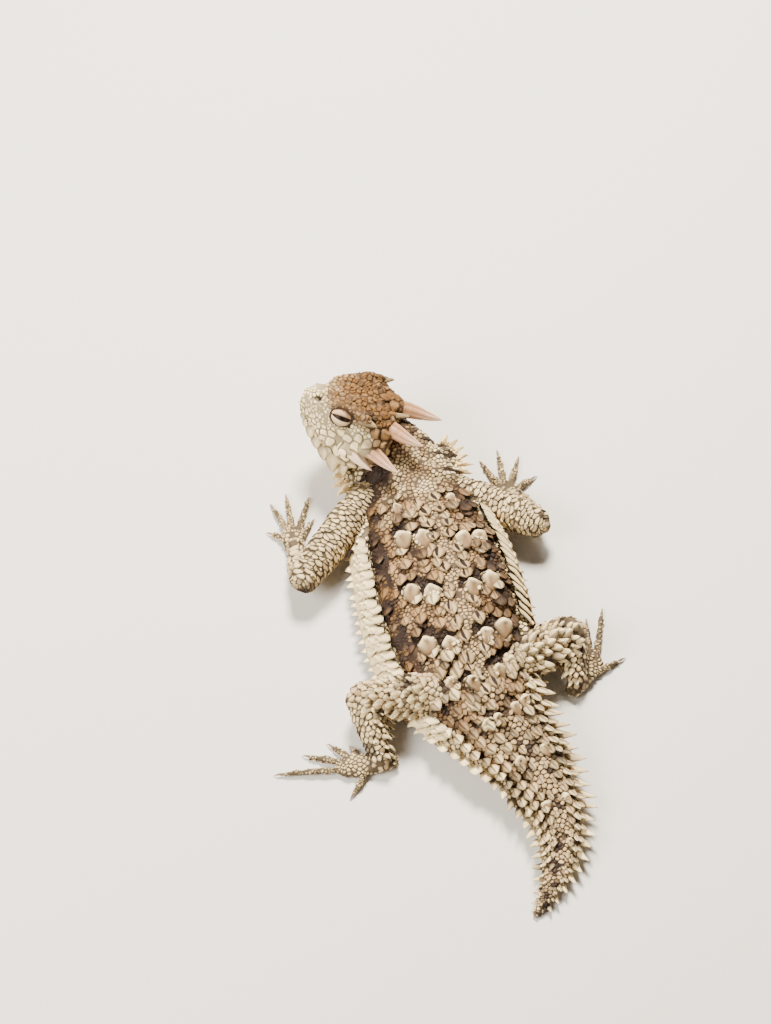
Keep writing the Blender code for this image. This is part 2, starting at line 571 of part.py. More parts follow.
def digit(root, tip):
    """A toe on the floor and its claw, as two shapes."""
    root, tip = np.array((*root, 1.15)), np.array((*tip, 0.0))
    heading = unit((tip - root) * (1, 1, 0))
    length = np.linalg.norm((tip - root)[:2]) - CLAW_LENGTH * 0.8
    across = np.cross(heading, (0, 0, 1.0))
    loops = []
    for u, size in DIGIT_SECTIONS:
        radius = DIGIT_RADIUS * size
        middle = root + heading * length * u
        middle[2] = radius * 0.92 + 0.35 * (1 - u)
        loop = [middle + radius * (across * math.cos(a) + np.array((0, 0, 1.0)) * math.sin(a))
                for a in np.linspace(0, 2 * math.pi, 6, endpoint=False)]
        loops.append(np.maximum(loop, (-1e9, -1e9, 0.0)))
    end = root + heading * length
    claw = cone([end + (0, 0, -0.35) - heading * 0.5, end + heading * CLAW_LENGTH * 0.5 + (0, 0, -0.3),
                 end + heading * CLAW_LENGTH + (0, 0, -1.1)], [0.8, 0.6], [1.0, 0.7], (0, 0, 1.0))
    claw[0][:, 2] = np.maximum(claw[0][:, 2], 0.0)
    return loft(loops), claw


def horn_shape(root, tip, width, depth, grow=0.0):
    """A horn's rings in the animal's frame, bowed a little on its way to the tip."""
    root, tip = np.array(root, float), np.array(tip, float)
    start = root - unit(tip - root) * 1.6
    tip = tip + unit(tip - root) * 2 * grow
    ends = []
    for u in (0.0, 0.3, 0.55, 0.8, 1.0):
        ends.append(start + (tip - start) * u + (math.copysign(0.35, tip[0]) * math.sin(math.pi * u), 0, 0))
    taper = (1.0, 0.86, 0.62, 0.34)
    up = from_head([(0, 0, 1)])[0] - from_head([(0, 0, 0)])[0]
    widths, depths = ([size * k + 2 * grow for k in taper] for size in (width, depth))
    return cone(from_head(ends), widths, depths, up, 10)


def ball(centre, radii, turn=None, rings=9, sides=16):
    """Verts and faces of an oval ball; turn holds its own axes as rows."""
    turn = np.eye(3) if turn is None else np.asarray(turn)
    loops = []
    for a in np.linspace(-math.pi / 2, math.pi / 2, rings + 2)[1:-1]:
        loop = [(math.cos(a) * math.cos(b), math.cos(a) * math.sin(b), math.sin(a))
                for b in np.linspace(0, 2 * math.pi, sides, endpoint=False)]
        loops.append((np.array(loop) * radii) @ turn + centre)
    poles = [(np.array((0, 0, z)) * radii) @ turn + centre for z in (-1, 1)]
    return loft(loops, poles[0], poles[1])


def in_head(shape):
    """Moves a shape made in the head's frame into the animal's."""
    return from_head(shape[0]), shape[1]


def mirrored(points, side):
    """Points of the head's right side, or of its left when side is -1."""
    return np.asarray(points, float) * (side, 1, 1)


def lid_slit(side):
    """The lens-shaped cut between the lids, a wedge that reaches from the eye outwards."""
    gaze = unit(mirrored(GAZE, side))
    along_lid = np.array((0, 1.0, 0))
    rise = np.cross(gaze, along_lid) * side
    loops = []
    for reach, grow in ((LID_INNER - 1.0, 0.85), (LID_OUTER + 1.2, 1.25)):
        middle = mirrored(EYE, side) + gaze * reach
        loop = []
        for a in np.linspace(0, 2 * math.pi, 8, endpoint=False):
            high = SLIT_HALF_HEIGHT * math.sin(a) * abs(math.sin(a)) ** 0.5
            loop.append(middle + (along_lid * SLIT_HALF_LENGTH * math.cos(a) + rise * high) * grow)
        loops.append(loop)
    return in_head(loft(loops))


def mouth_cut():
    """The groove between the lips, all round the snout."""
    right = [np.array(p) for p in LIP_LINE]
    path = right + [np.array((0, 22.5, -2.0))] + [p * (-1, 1, 1) for p in reversed(right)]
    loops = []
    for i, point in enumerate(path):
        heading = unit(path[min(i + 1, len(path) - 1)] - path[max(i - 1, 0)])
        out = unit(np.cross(heading, (0, 0, 1.0))) * -1.0
        rise = np.cross(heading, out)
        loops.append([point + out * 1.0 + rise * 0.42, point - out * 0.75 + rise * 0.06,
                      point - out * 0.75 - rise * 0.06, point + out * 1.0 - rise * 0.42])
    return in_head(loft(loops))


def brow_ridge(side):
    """The ridge over the eye, which ends in a spine at the back."""
    path = from_head(mirrored(BROW_LINE, side))
    sizes = [2 * r for r in BROW_RADII]
    up = from_head([(0, 0, 1)])[0] - from_head([(0, 0, 0)])[0]
    return cone(path, sizes, sizes, up, 7)


def build_head():
    """The head, its eyes and its horns."""
    head = head_core("head", ("sand_skin", SAND))
    middle_spine = cone(from_head([(0, 1.0, 3.4), (0, -3.2, 5.0)]), [2.6], [2.0], (0, 0, 1.0), 6)
    added, taken = [middle_spine], [mouth_cut()]
    up = from_head([(0, 0, 1)])[0] - from_head([(0, 0, 0)])[0]
    for side in (-1, 1):
        added += [in_head(ball(mirrored(EYE, side), [LID_OUTER] * 3, rings=7, sides=16)), brow_ridge(side)]
        taken += [in_head(ball(mirrored(EYE, side), [LID_INNER] * 3, rings=5, sides=12)), lid_slit(side)]
        taken += [in_head(ball(mirrored(NOSTRIL, side), (0.5, 0.75, 0.6), rings=5, sides=8))]
        taken += [in_head(ball(mirrored(EAR, side), (0.7, 0.75, 1.1), rings=5, sides=8))]
        for root, tip, width, depth in JAW_PLATES:
            root, tip = from_head([mirrored(root, side), mirrored(tip, side)])
            added.append(cone([root - (tip - root) * 0.5, tip], [width * 1.4], [depth * 1.4], up, 4))
    joined(head, added)
    cut_away(head, [solid("piece", *shape) for shape in taken])
    keep_largest(head)
    for side, word in ((-1, "left"), (1, "right")):
        eye = ball(mirrored(EYE, side), [EYE_RADIUS] * 3, rings=7, sides=14)
        solid(f"eye_{word}", *in_head(eye), ("eye", EYE_DARK))
    for name, root, tip, width, depth in HORNS:
        made = solid("horn_" + name, *horn_shape(root, tip, width, depth), ("horn", HORN_TAN))
        cut_away(made, [head_core("tool", None, GAP)])
        keep_largest(made)


def main():
    for old in list(bpy.data.objects):
        bpy.data.objects.remove(old)
    build_trunk()
    build_head()
    arm, leg = ("upper_arm", "forearm", "hand"), ("thigh", "shin", "foot")
    build_limb("left", arm, LEFT_ARM, ARM_RADII, ARM_SPINES, LEFT_HAND)
    build_limb("right", arm, RIGHT_ARM, ARM_RADII, ARM_SPINES, RIGHT_HAND)
    build_limb("left", leg, LEFT_LEG, LEG_RADII, LEG_SPINES, LEFT_FOOT)
    build_limb("right", leg, RIGHT_LEG, LEG_RADII, LEG_SPINES, RIGHT_FOOT)
    for node in bpy.data.objects:
        node.data.shade_smooth()
        node.data.set_sharp_from_angle(angle=math.radians(SHARP_ANGLE))


main()
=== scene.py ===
"""Dresses the horned lizard: one skin over all flesh, scales, spines, eyes, horns, claws and a pale studio.

Shapes are written in millimetres, and become metres as each mesh is made. The animal faces +Y, its right
side is +X and the floor is z = 0, as in the frame.
"""
import itertools
from math import cos, pi, radians, sin

import bpy
import numpy as np
from mathutils import Matrix, Vector
from mathutils.bvhtree import BVHTree
from mathutils.kdtree import KDTree


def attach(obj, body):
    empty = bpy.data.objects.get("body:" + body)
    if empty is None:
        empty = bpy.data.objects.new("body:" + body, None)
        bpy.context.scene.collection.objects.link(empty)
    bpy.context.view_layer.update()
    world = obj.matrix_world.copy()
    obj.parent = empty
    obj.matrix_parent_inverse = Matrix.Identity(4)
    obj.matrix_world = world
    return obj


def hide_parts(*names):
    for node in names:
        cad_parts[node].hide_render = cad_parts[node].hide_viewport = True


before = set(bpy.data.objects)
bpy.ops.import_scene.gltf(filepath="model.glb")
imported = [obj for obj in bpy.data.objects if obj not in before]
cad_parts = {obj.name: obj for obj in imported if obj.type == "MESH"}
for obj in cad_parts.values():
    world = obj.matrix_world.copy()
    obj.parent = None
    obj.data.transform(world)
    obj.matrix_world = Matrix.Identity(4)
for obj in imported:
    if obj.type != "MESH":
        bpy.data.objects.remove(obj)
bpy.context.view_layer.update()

bl_info = {
    "name": "Horned Lizard Dresser",
    "version": (1, 0, 0),
    "blender": (4, 5, 0),
    "location": "3D View > Sidebar > Lizard",
    "description": "Skin, scales, spines, horns, eyes and claws of a resting horned lizard, with its studio",
    "category": "Object",
}

MM = 0.001
FAR = 1e9
BODY = "root"
UP = np.array((0, 0, 1.0))

# The trunk's stations, from inside the head to the tail's tip:
# middle x, y, z at the widest level, half width, rise to the back, drop to the belly, roll in degrees.
TRUNK = (
    (-8.5, 52.4, 15.4, 6.4, 5.2, 5.6, 22),
    (-3.6, 48.6, 12.9, 7.4, 5.2, 6.2, 12),
    (-1.8, 41.6, 9.8, 11, 5.9, 7, 3),
    (-1.9, 34.5, 7.3, 14.8, 7.5, 7.4, 0),
    (-1.8, 26, 5.7, 17.3, 9.9, 6.2, 0),
    (-1.7, 16, 5.1, 18.7, 11.7, 5.6, 0),
    (-1.8, 6, 4.9, 19.3, 12.3, 5.4, 0),
    (-1.7, -4, 4.9, 18.9, 11.9, 5.4, 0),
    (-1.2, -13, 5, 17.4, 10.2, 5.4, 0),
    (0.8, -21, 4.8, 14.8, 8.2, 5.2, 0),
    (3.7, -28.5, 4.3, 11.9, 6.5, 4.7, 0),
    (7.2, -37, 3.8, 9.2, 5.2, 4.2, 0),
    (9.7, -46, 3.2, 7.2, 4.2, 3.5, 0),
    (10.7, -54.5, 2.6, 5.4, 3.4, 2.9, 0),
    (8.8, -62.5, 2, 3.8, 2.6, 2.2, 0),
    (4.9, -69.5, 1.4, 2.3, 1.8, 1.5, 0),
    (0.4, -75, 0.8, 0.9, 0.8, 0.85, 0),
)
TORSO_END, TAIL_TIP = 9.7, len(TRUNK) - 1.0
BACK_LEAN = 3.2              # the ridge of the back stands this far to the right of the middle
BACK_SQUARE, BELLY_SQUARE = 2.1, 2.9
NECK_FOLDS = (((-12.6, 45, 7.2), (5, 6, 4.4)), ((7.2, 43.6, 7.6), (4.6, 6, 4.4)))

# The head, in its own frame: x to its right, y to the snout, z to the crown, from the joint with the neck.
HEAD_JOINT = (-3.6, 50.7, 16.5)
HEAD_YAW, HEAD_PITCH, HEAD_ROLL = 61.1, 10, 20.6
HEAD_LENGTH = 23.0
# Sections: forward, throat z, jaw half width, lip z and half width, cheek z and half width,
# brow z and half width, crown z.
HEAD = (
    (0, -7.6, 5.6, -4.2, 8.6, 0.6, 9.2, 3.6, 7, 4.6),
    (3, -9.2, 6.8, -5.6, 9.8, -1, 10.1, 5.9, 8.2, 6.6),
    (6.5, -10, 7.4, -7, 10, -1.6, 9.8, 7.1, 8.3, 7.4),
    (10, -9.6, 7, -6.95, 9, -1.2, 8.4, 7.3, 7.3, 7.5),
    (13.5, -8.2, 5.9, -5.35, 7.5, -0.2, 7.2, 6.3, 6.5, 6.8),
    (17, -6.2, 4.3, -3.6, 5.5, 1, 5.4, 5.4, 4.7, 6),
    (19.8, -4.5, 2.7, -2.55, 3.2, 1.2, 3.7, 4.2, 3.1, 5),
    (21.9, -3.1, 1.1, -2.05, 1.3, 0.9, 2.2, 2.9, 1.7, 3.6),
)
LIP_LINE = ((9, 10.2, -6.9), (8.3, 11.9, -6.2), (7.5, 13.5, -5.35), (6.5, 15.4, -4.4), (5.5, 17, -3.6),
            (4.3, 18.6, -3), (3.2, 19.8, -2.55), (2.2, 20.9, -2.2), (1.2, 21.9, -2.05), (0, 22.6, -2))
BROW_LINE = ((4.8, 17, 4.3), (5.1, 16.2, 4.9), (6.5, 13.4, 5.9), (7.3, 10, 7), (8.5, 6.9, 7.1),
             (9.6, 4.9, 6.7))
BROW_RADII = (0.5, 0.7, 0.95, 1.15, 1.1, 0.5)
EYE = (5.6, 12, 2.95)
EYE_RADIUS, LID_RADIUS, ORBIT_RADIUS, SOCKET_RADIUS = 2.8, 3.25, 3.5, 2.35
GAZE = (0.79, 0, 0.61)
NOSTRIL, NOSTRIL_SIZE = (3.35, 18.75, 4.8), (1, 1.2, 1.15)
EAR, EAR_SIZE = (9.3, 4.6, -5.4), (1.2, 0.8, 1.2)
# Horns: name, root, tip, width and depth at the root, and how far scaly skin climbs up from the root.
HORNS = (
    ("occipital_left", (-4.1, 0.6, 3.2), (-6.4, -8.4, 3.1), 4.4, 3.9, 0.7),
    ("occipital_right", (4.1, 0.2, 3.4), (6.5, -10.9, 2.7), 4.4, 3.9, 0.9),
    ("temporal_left", (-9, 3.2, -0.8), (-12.9, -4.7, -1.8), 4.4, 3, 1.5),
    ("temporal_right", (9, 3.2, -0.8), (12.9, -4.7, -1.8), 4.4, 3, 1.5),
    ("cheek_left", (-9, 7.4, -2.6), (-12.6, 1.3, -3.9), 4.6, 2.4, 1.9),
    ("cheek_right", (9, 7.4, -2.6), (12.6, 1.3, -3.9), 4.6, 2.4, 1.9),
)
# Plates along the lower lip and at the jaw's corner, right side: root, tip, width, thickness.
JAW_PLATES = (
    ((2.2, 21, -2.9), (2.8, 21, -3.8), 1.6, 0.8),
    ((3.3, 19.6, -3.6), (4.2, 19.4, -4.7), 2.2, 0.9),
    ((4.6, 17.8, -4.5), (5.8, 17.3, -6), 2.6, 0.9),
    ((5.9, 15.7, -5.6), (7.2, 15, -7.3), 3, 1),
    ((7.2, 13.3, -6.8), (8.6, 12.6, -8.8), 3.2, 1.1),
    ((8.3, 10.6, -7.7), (9.8, 9.6, -10.6), 3.8, 1.3),
    ((8.9, 7.8, -8.2), (10.2, 6.9, -9.7), 2.5, 1.1),
)
# Large scales of the face and round the horns, right side: kind, then place and width of each.
FACE_SCALES = (
    ("plate", ((9.6, 9.3, -2.5, 2.5), (9.9, 6.5, -1.2, 2.3), (9.8, 4.3, 0.4, 2.1), (9.4, 2.3, 1.6, 1.9),
        (9, 0.6, 1.6, 2), (9.8, 8.3, -5, 1.7), (8.3, 11.6, -2.6, 2.2), (9, 9.2, -0.2, 1.9),
        (9.3, 6.6, 1.2, 1.8), (9.3, 10.6, -4.8, 1.9), (7.9, 13.2, -3.6, 1.8), (7.6, 13.4, -1.4, 1.5),
        (6.9, 15, -2.4, 1.5), (5.9, 16.6, -1.6, 1.3))),
    ("knob", ((9, 3.4, 3.8, 2.4), (7.6, 0.9, 3.8, 2.1), (7.1, 2.2, 5.6, 2.4), (4.3, 2.7, 6, 2.5),
        (1.5, 1.1, 5.4, 2.2), (8.4, 4.9, 5.2, 1.8), (2.4, 4, 6.6, 1.9))),
    ("plate", ((9.6, 6, -7, 1.8), (9.8, 3.9, -3.2, 1.8))),
)
# Pale swellings of the back, each behind a dark hollow: station, height round the back in degrees, size.
LOBES = (
    (3.30, 116, 0.6), (3.35, 70, 0.6),
    (4.44, 117, 1), (4.58, 103, 1), (4.90, 77, 0.9), (4.86, 63, 0.95),
    (5.98, 121, 0.95), (6.18, 107, 1), (6.26, 81, 0.9), (6.08, 66, 1),
    (7.42, 121, 1), (7.64, 104, 0.95), (7.62, 79, 0.9), (7.42, 64, 0.95),
    (8.45, 117, 0.8), (8.72, 101, 0.85), (8.75, 78, 0.8), (8.62, 62, 0.8),
    (9.9, 114, 0.75), (10, 100, 0.7), (9.95, 79, 0.7), (9.9, 64, 0.7),
    (11.2, 112, 0.65), (11.2, 70, 0.65), (12.5, 112, 0.55), (12.5, 68, 0.55), (13.6, 112, 0.45),
    (13.6, 68, 0.45),
)

# Limbs: shoulder or hip, elbow or knee, wrist or ankle.
LIMBS = {
    "left_arm": ((-13, 38, 8.8), (-31.4, 20.6, 7), (-31.4, 32.6, 2.6)),
    "right_arm": ((8, 36, 8.6), (25, 23.4, 7), (22.9, 34.6, 2.6)),
    "left_leg": ((-6, -17.6, 7.4), (-25, -15.6, 7.5), (-24.6, -29, 3)),
    "right_leg": ((7, -14.6, 7.4), (24.6, -8.8, 7.5), (24.8, -18.6, 3)),
}
# Radius along the upper and the lower length of an arm and of a leg, by share of its length.
LIMB_RADII = {
    "arm": (((0, 3.9), (0.35, 4.5), (0.7, 4.5), (1, 3.7)), ((0, 3.3), (0.35, 3.4), (0.7, 2.7), (1, 2))),
    "leg": (((0, 6.2), (0.35, 5.9), (0.7, 5.2), (1, 4.5)), ((0, 4.2), (0.3, 4.1), (0.7, 3.1), (1, 2.3))),
}
# Hands and feet: where the palm ends, its half width, then each digit's root and tip on the floor plan.
PAWS = {
    "left_arm": ((-31.2, 36.8), 2.9, (
        ((-29, 35.6), (-25, 40.2)), ((-29.6, 37.2), (-24.9, 46.6)), ((-30.8, 37.8), (-30.2, 48.8)),
        ((-32, 37.4), (-34.4, 46.8)), ((-33, 35.8), (-37, 39)))),
    "right_arm": ((21.9, 38.2), 2.9, (
        ((19.8, 36.6), (17.2, 41.6)), ((20.5, 38.2), (17.6, 47.6)), ((21.7, 39), (22.4, 49.8)),
        ((23, 38.6), (27.2, 46.8)), ((24, 37.2), (30, 40.2)))),
    "left_leg": ((-32.6, -28.2), 3, (
        ((-29.4, -26.2), (-30.6, -22.4)), ((-31.6, -25.8), (-35.4, -20.8)), ((-33.4, -26.8), (-41.6, -22.6)),
        ((-34.2, -28.6), (-49, -26.2)), ((-29, -31.4), (-33.4, -36.2)))),
    "right_leg": ((29.8, -13.2), 3, (
        ((27.2, -13.6), (25.4, -8.6)), ((28.2, -12.2), (27.6, -3.6)), ((29.8, -11.4), (31.4, -1.4)),
        ((31.2, -12.2), (35.9, 0.5)), ((30.4, -16.6), (37.6, -14)))),
}
# Along the palm from the wrist: share of its length, share of its half width, half height.
PALM_SECTIONS = ((-0.5, 0.55, 0.8), (-0.1, 0.85, 1.6), (0.5, 1, 1.5), (1, 0.95, 1.2), (1.25, 0.6, 0.8))
DIGIT_RADIUS = 1.05
CLAW_LENGTH, CLAW_SIDES = 1.9, 12

# Rows of pointed scales along both sides of the trunk: height on the side (0 is the edge, 90 the ridge of
# the back), spacing, share that points outwards, then station, length, width and keel height at each knot.
LEAF_ROWS = (
    (7, 3, 0.8, ((9.2, 4.4, 3, 0.5), (10.6, 5.8, 3.5, 0.7), (12.5, 5.5, 3.2, 0.7), (14, 4.4, 2.5, 0.5),
                   (15.8, 1.8, 1.2, 0.2))),
    (27, 2.7, 0.45, ((9.3, 4.4, 3.1, 0.8), (12.5, 4, 2.7, 0.7), (15.4, 1.6, 1.2, 0.3))),
    (46, 2.8, 0.25, ((9.4, 4.2, 3, 0.8), (12.5, 3.6, 2.5, 0.6), (15.2, 1.4, 1.1, 0.3))),
    (66, 2.9, 0.15, ((8.9, 4.1, 3, 0.8), (12.5, 3.3, 2.3, 0.6), (15, 1.3, 1, 0.3))),
    (82, 4.3, 0, ((3.3, 3.4, 2.4, 0.8), (6, 4.2, 3, 0.9), (9.5, 3.4, 2.5, 0.8), (13, 2.2, 1.6, 0.4))),
    (-26, 2, 0.8, ((3.6, 1.7, 1.5, 0.3), (5, 2.1, 1.6, 0.3), (8, 2.1, 1.6, 0.3), (8.9, 1.5, 1.4, 0.3))),
)
# Large keeled scales in front of each pair of lobes: stations before the lobe, degrees outwards, size.
BAND_LEAVES = ((-0.52, -3, 1), (-0.50, 5, 0.9), (-0.98, 1, 0.85), (0.42, 0, 0.8), (-0.16, 13, 0.75))
# Rows of keeled scales on each side of the spine: degrees from it, stations between scales, size.
BACK_ROWS = ((6.5, 0.48, 1.05), (18, 0.46, 1.05), (29, 0.5, 1), (40, 0.5, 0.9), (51, 0.5, 0.85))
# Rows of thorns along the upper and the lower limb: degrees from the rear, length, share where it starts.
LIMB_THORNS = {
    "arm": (((20, 1.4, 0.5), (50, 1.4, 0.6), (80, 1.3, 0.65)), ((150, 1.2, 0.15), (110, 1.1, 0.2))),
    "leg": (((5, 2.9, 0.4), (25, 3, 0.35), (45, 2.9, 0.3), (65, 2.8, 0.35), (85, 2.6, 0.3),
             (105, 2.5, 0.4), (125, 2.2, 0.5)),
            ((10, 2.3, 0.1), (35, 2.2, 0.1), (60, 2, 0.1), (85, 1.8, 0.2), (115, 1.6, 0.2))),
}
# Rows of the fringe from its top: where their plates start and end, as shares of the fringe's height.
FRINGE_ROWS = ((1, 0.62), (0.76, 0.34), (0.46, -0.07))
# Points round and along the skin's parts before they are fused.
TRUNK_RINGS, TRUNK_SIDES = 330, 120
HEAD_RINGS, HEAD_SIDES = 110, 108
LIMB_RINGS = 60
BELLY_EDGE = -35             # height on the side, in degrees, below which the belly's plain scales grow
# Bare skin between scales is drawn mostly in the groove colour: painted shade in the gaps between scales.
HEAD_SKIN_RIM, SKIN_RIM = 0.35, 0.12         # how bright bare skin is between scales

def unit(v):
    """The direction of each vector."""
    v = np.asarray(v, float)
    return v / np.maximum(np.linalg.norm(v, axis=-1, keepdims=True), 1e-9)


def smooth(value, low, high):
    """0 below low, 1 above high, and a smooth step between."""
    x = np.clip((np.asarray(value, float) - low) / (high - low), 0, 1)
    return x * x * (3 - 2 * x)


def hump(value, low, high, soft):
    """1 between low and high, falling to 0 over the soft width outside."""
    return smooth(value, low - soft, low) * (1 - smooth(value, high, high + soft))


def bell(value, width, middle=0.0):
    """1 at the middle, and next to nothing from twice the width away."""
    return np.exp(-((value - middle) / width) ** 2)


def oval(points, centre, radii):
    """How far points lie from an oval's middle: 1 is its rim."""
    return np.linalg.norm((points - centre) / radii, axis=1)


def turns(count):
    """Angles in even steps once round."""
    return np.linspace(0, 2 * pi, count, endpoint=False)


def lumps(points, size, seed):
    """Smooth value noise in 0..1 over points, with lumps of about the given size."""
    q = np.asarray(points, float) / size + 71.3 * (seed + 1)
    base = np.floor(q).astype(np.int64)
    f = q - base
    f = f * f * (3 - 2 * f)
    total = np.zeros(len(q))
    for corner in range(8):
        step = np.array([corner & 1, corner >> 1 & 1, corner >> 2 & 1])
        x, y, z = (base + step).T
        code = x * 73856093 ^ y * 19349663 ^ z * 83492791 ^ seed * 2654435761
        code = (code ^ (code >> 13)) * 1274126177 & 0xFFFFFFFF
        value = ((code ^ (code >> 16)) & 0xFFFF) / 65535.0
        total += value * np.prod(np.where(step == 1, f, 1 - f), axis=1)
    return total


def warped(points, amount, size, seed):
    """Points shifted by a smooth random drift."""
    flat = points.reshape(-1, 3)
    drift = np.stack([lumps(flat, size, seed + k) for k in (70, 71, 72)], 1) - 0.5
    return points + amount * drift.reshape(points.shape)


def curve(a, b, c, d, u):
    """A smooth step from b to c as u goes from 0 to 1, between the neighbours a and d."""
    return 0.5 * (2 * b + (c - a) * u + (2 * a - 5 * b + 4 * c - d) * u**2 + (3 * b - 3 * c + d - a) * u**3)


def along(table, t):
    """Rows of the table at the real-valued stations t, on a smooth curve through the rows."""
    rows = np.asarray(table, float)
    t = np.clip(np.asarray(t, float), 0, len(rows) - 1)
    i = np.minimum(t.astype(int), len(rows) - 2)
    padded = np.vstack([2 * rows[0] - rows[1], rows, 2 * rows[-1] - rows[-2]])
    return curve(*(padded[i + k] for k in range(4)), (t - i)[..., None])


def head_turn():
    """Turns the head's own frame into the animal's."""
    yaw, pitch, roll = (Matrix.Rotation(radians(angle), 3, axis) for angle, axis in
                        ((HEAD_YAW, "Z"), (HEAD_PITCH, "X"), (HEAD_ROLL, "Y")))
    return np.array(yaw @ pitch @ roll)


def from_head(points):
    """Points of the head's frame in the animal's frame."""
    return np.asarray(points, float) @ head_turn().T + HEAD_JOINT


def to_head(points):
    """Points of the animal's frame in the head's frame."""
    return (np.asarray(points, float) - HEAD_JOINT) @ head_turn()


def mirrored(points, side):
    """Points of the head's right side, or of its left when side is -1."""
    return np.asarray(points, float) * (side, 1, 1)


def trunk_frame(t):
    """Middle, right, up and back directions, and the row of sizes at stations t."""
    t = np.asarray(t, float)
    row = along(TRUNK, t)
    back = unit(along(TRUNK, t + 0.02)[..., :3] - along(TRUNK, t - 0.02)[..., :3])
    side = unit(np.cross(UP, back))
    up = np.cross(back, side)
    turn = np.radians(row[..., 6:7])
    side, up = side * np.cos(turn) - up * np.sin(turn), up * np.cos(turn) + side * np.sin(turn)
    return row[..., :3], side, up, back, row


def trunk_point(t, angle, grow=0.0):
    """Points on the trunk; angle 0 is the right edge, 90 the back, 180 the left edge, 270 the belly."""
    middle, side, up, _, row = trunk_frame(t)
    c, s = np.cos(np.radians(angle)), np.sin(np.radians(angle))
    square = np.where(s > 0, BACK_SQUARE, BELLY_SQUARE)
    across = np.sign(c) * np.abs(c) ** (2 / square) * (row[..., 3] + grow)
    height = np.sign(s) * np.abs(s) ** (2 / square) * (np.where(s > 0, row[..., 4], row[..., 5]) + grow)
    lean = BACK_LEAN * np.maximum(height, 0) / 12.0
    point = middle + side * (across + lean)[..., None] + up * height[..., None]
    point[..., 2] = np.maximum(point[..., 2], -grow)
    return point


def head_point(f, a, grow=0.0):
    """Points on the head in its own frame: section f from -1 to 8, and a round it from 0 to 12."""
    f, a = np.broadcast_arrays(np.asarray(f, float), np.asarray(a, float))
    forward, throat, jaw, lip_z, lip, cheek_z, cheek, brow_z, brow, crown = np.moveaxis(along(HEAD, f), -1, 0)
    half = [(0.55 * jaw, throat + 0.1), (jaw, throat + 0.3 * (lip_z - throat)), (lip, lip_z),
            (cheek, cheek_z), (brow, brow_z), (0.5 * brow, brow_z + 0.8 * (crown - brow_z))]
    zero = np.zeros_like(jaw)
    ring = np.array([(zero, throat), *half, (zero, crown), *((-x, z) for x, z in reversed(half))])
    count = len(ring)
    a = np.mod(a * count / 12.0, count)
    i = a.astype(int)
    picked = (np.take_along_axis(ring, np.mod(i + k, count)[None, None], 0)[0] for k in (-1, 0, 1, 2))
    spot = curve(*(np.moveaxis(p, 0, -1) for p in picked), (a - i)[..., None])
    centre = np.moveaxis(ring.mean(0), 0, -1)
    out = spot - centre
    away = np.maximum(np.linalg.norm(out, axis=-1, keepdims=True), 0.1)
    out = out * (1 + np.expand_dims(grow, -1) / away)
    end = np.clip(np.maximum(-f, f - (len(HEAD) - 1)), 0, 1)
    spot = centre + out * np.sqrt(np.maximum(1 - end**2, 0))[..., None]
    snout, nape = HEAD_LENGTH - HEAD[-1][0] + grow, 1.2 + grow
    forward = forward + np.where(f > 1, snout, -nape) * end
    return np.stack([spot[..., 0], forward, spot[..., 1]], axis=-1)


def sides_of(heading):
    """The level direction across a heading, and the one square to both."""
    across = unit(np.cross(heading, UP))
    return across, np.cross(across, heading)


def tube_frame(start, end):
    """Heading, across and up directions of a straight limb length."""
    heading = unit(np.asarray(end, float) - start)
    return heading, *sides_of(heading)


class Tube:
    """A round or oval length of the body: middles, half widths and half heights along it."""

    def __init__(self, name, middles, wide, high, across, up):
        self.name = name
        self.table = np.column_stack([middles, wide, high])
        self.across, self.up = np.asarray(across), np.asarray(up)
        self.heading = unit(np.asarray(middles[-1]) - middles[0])

    def point(self, u, angle, grow=0.0):
        """Points on it, u from 0 to 1 and the angle in degrees."""
        t = np.asarray(u, float) * (len(self.table) - 1)
        i = np.minimum(t.astype(int), len(self.table) - 2)
        part = (t - i)[..., None]
        row = self.table[i] * (1 - part) + self.table[i + 1] * part
        c, s = np.cos(np.radians(angle))[..., None], np.sin(np.radians(angle))[..., None]
        point = row[..., :3] + self.across * c * (row[..., 3:4] + grow) + self.up * s * (row[..., 4:5] + grow)
        point[..., 2] = np.maximum(point[..., 2], -grow)
        return point


def limb_tube(name, start, end, radii, rings=14):
    """A limb length with rounded ends."""
    start, end = np.array(start, float), np.array(end, float)
    length = np.linalg.norm(end - start)
    heading, across, up = tube_frame(start, end)
    first, last = radii[0][1], radii[-1][1]
    spots = [(-first * sin(a), first * cos(a)) for a in np.radians((86, 65, 32))]
    spots += [(length * u, np.interp(u, *zip(*radii))) for u in np.linspace(0, 1, rings)]
    spots += [(length + last * sin(a), last * cos(a)) for a in np.radians((32, 65, 86))]
    reach, radius = np.array(spots).T
    return Tube(name, start + heading * reach[:, None], radius, radius, across, up)


def palm_tube(name, wrist, palm_end, half_width):
    """The flat palm from the wrist to the roots of the digits."""
    wrist, knuckle = np.array((*wrist[:2], 1.7)), np.array((*palm_end, 1.2))
    _, across, _ = tube_frame(wrist, knuckle)
    dense = np.linspace(0, len(PALM_SECTIONS) - 1, 15)
    shares, wide, high = (along(np.array(v)[:, None], dense)[:, 0] for v in zip(*PALM_SECTIONS))
    return Tube(name, wrist + (knuckle - wrist) * shares[:, None], wide * half_width, high, across, UP)


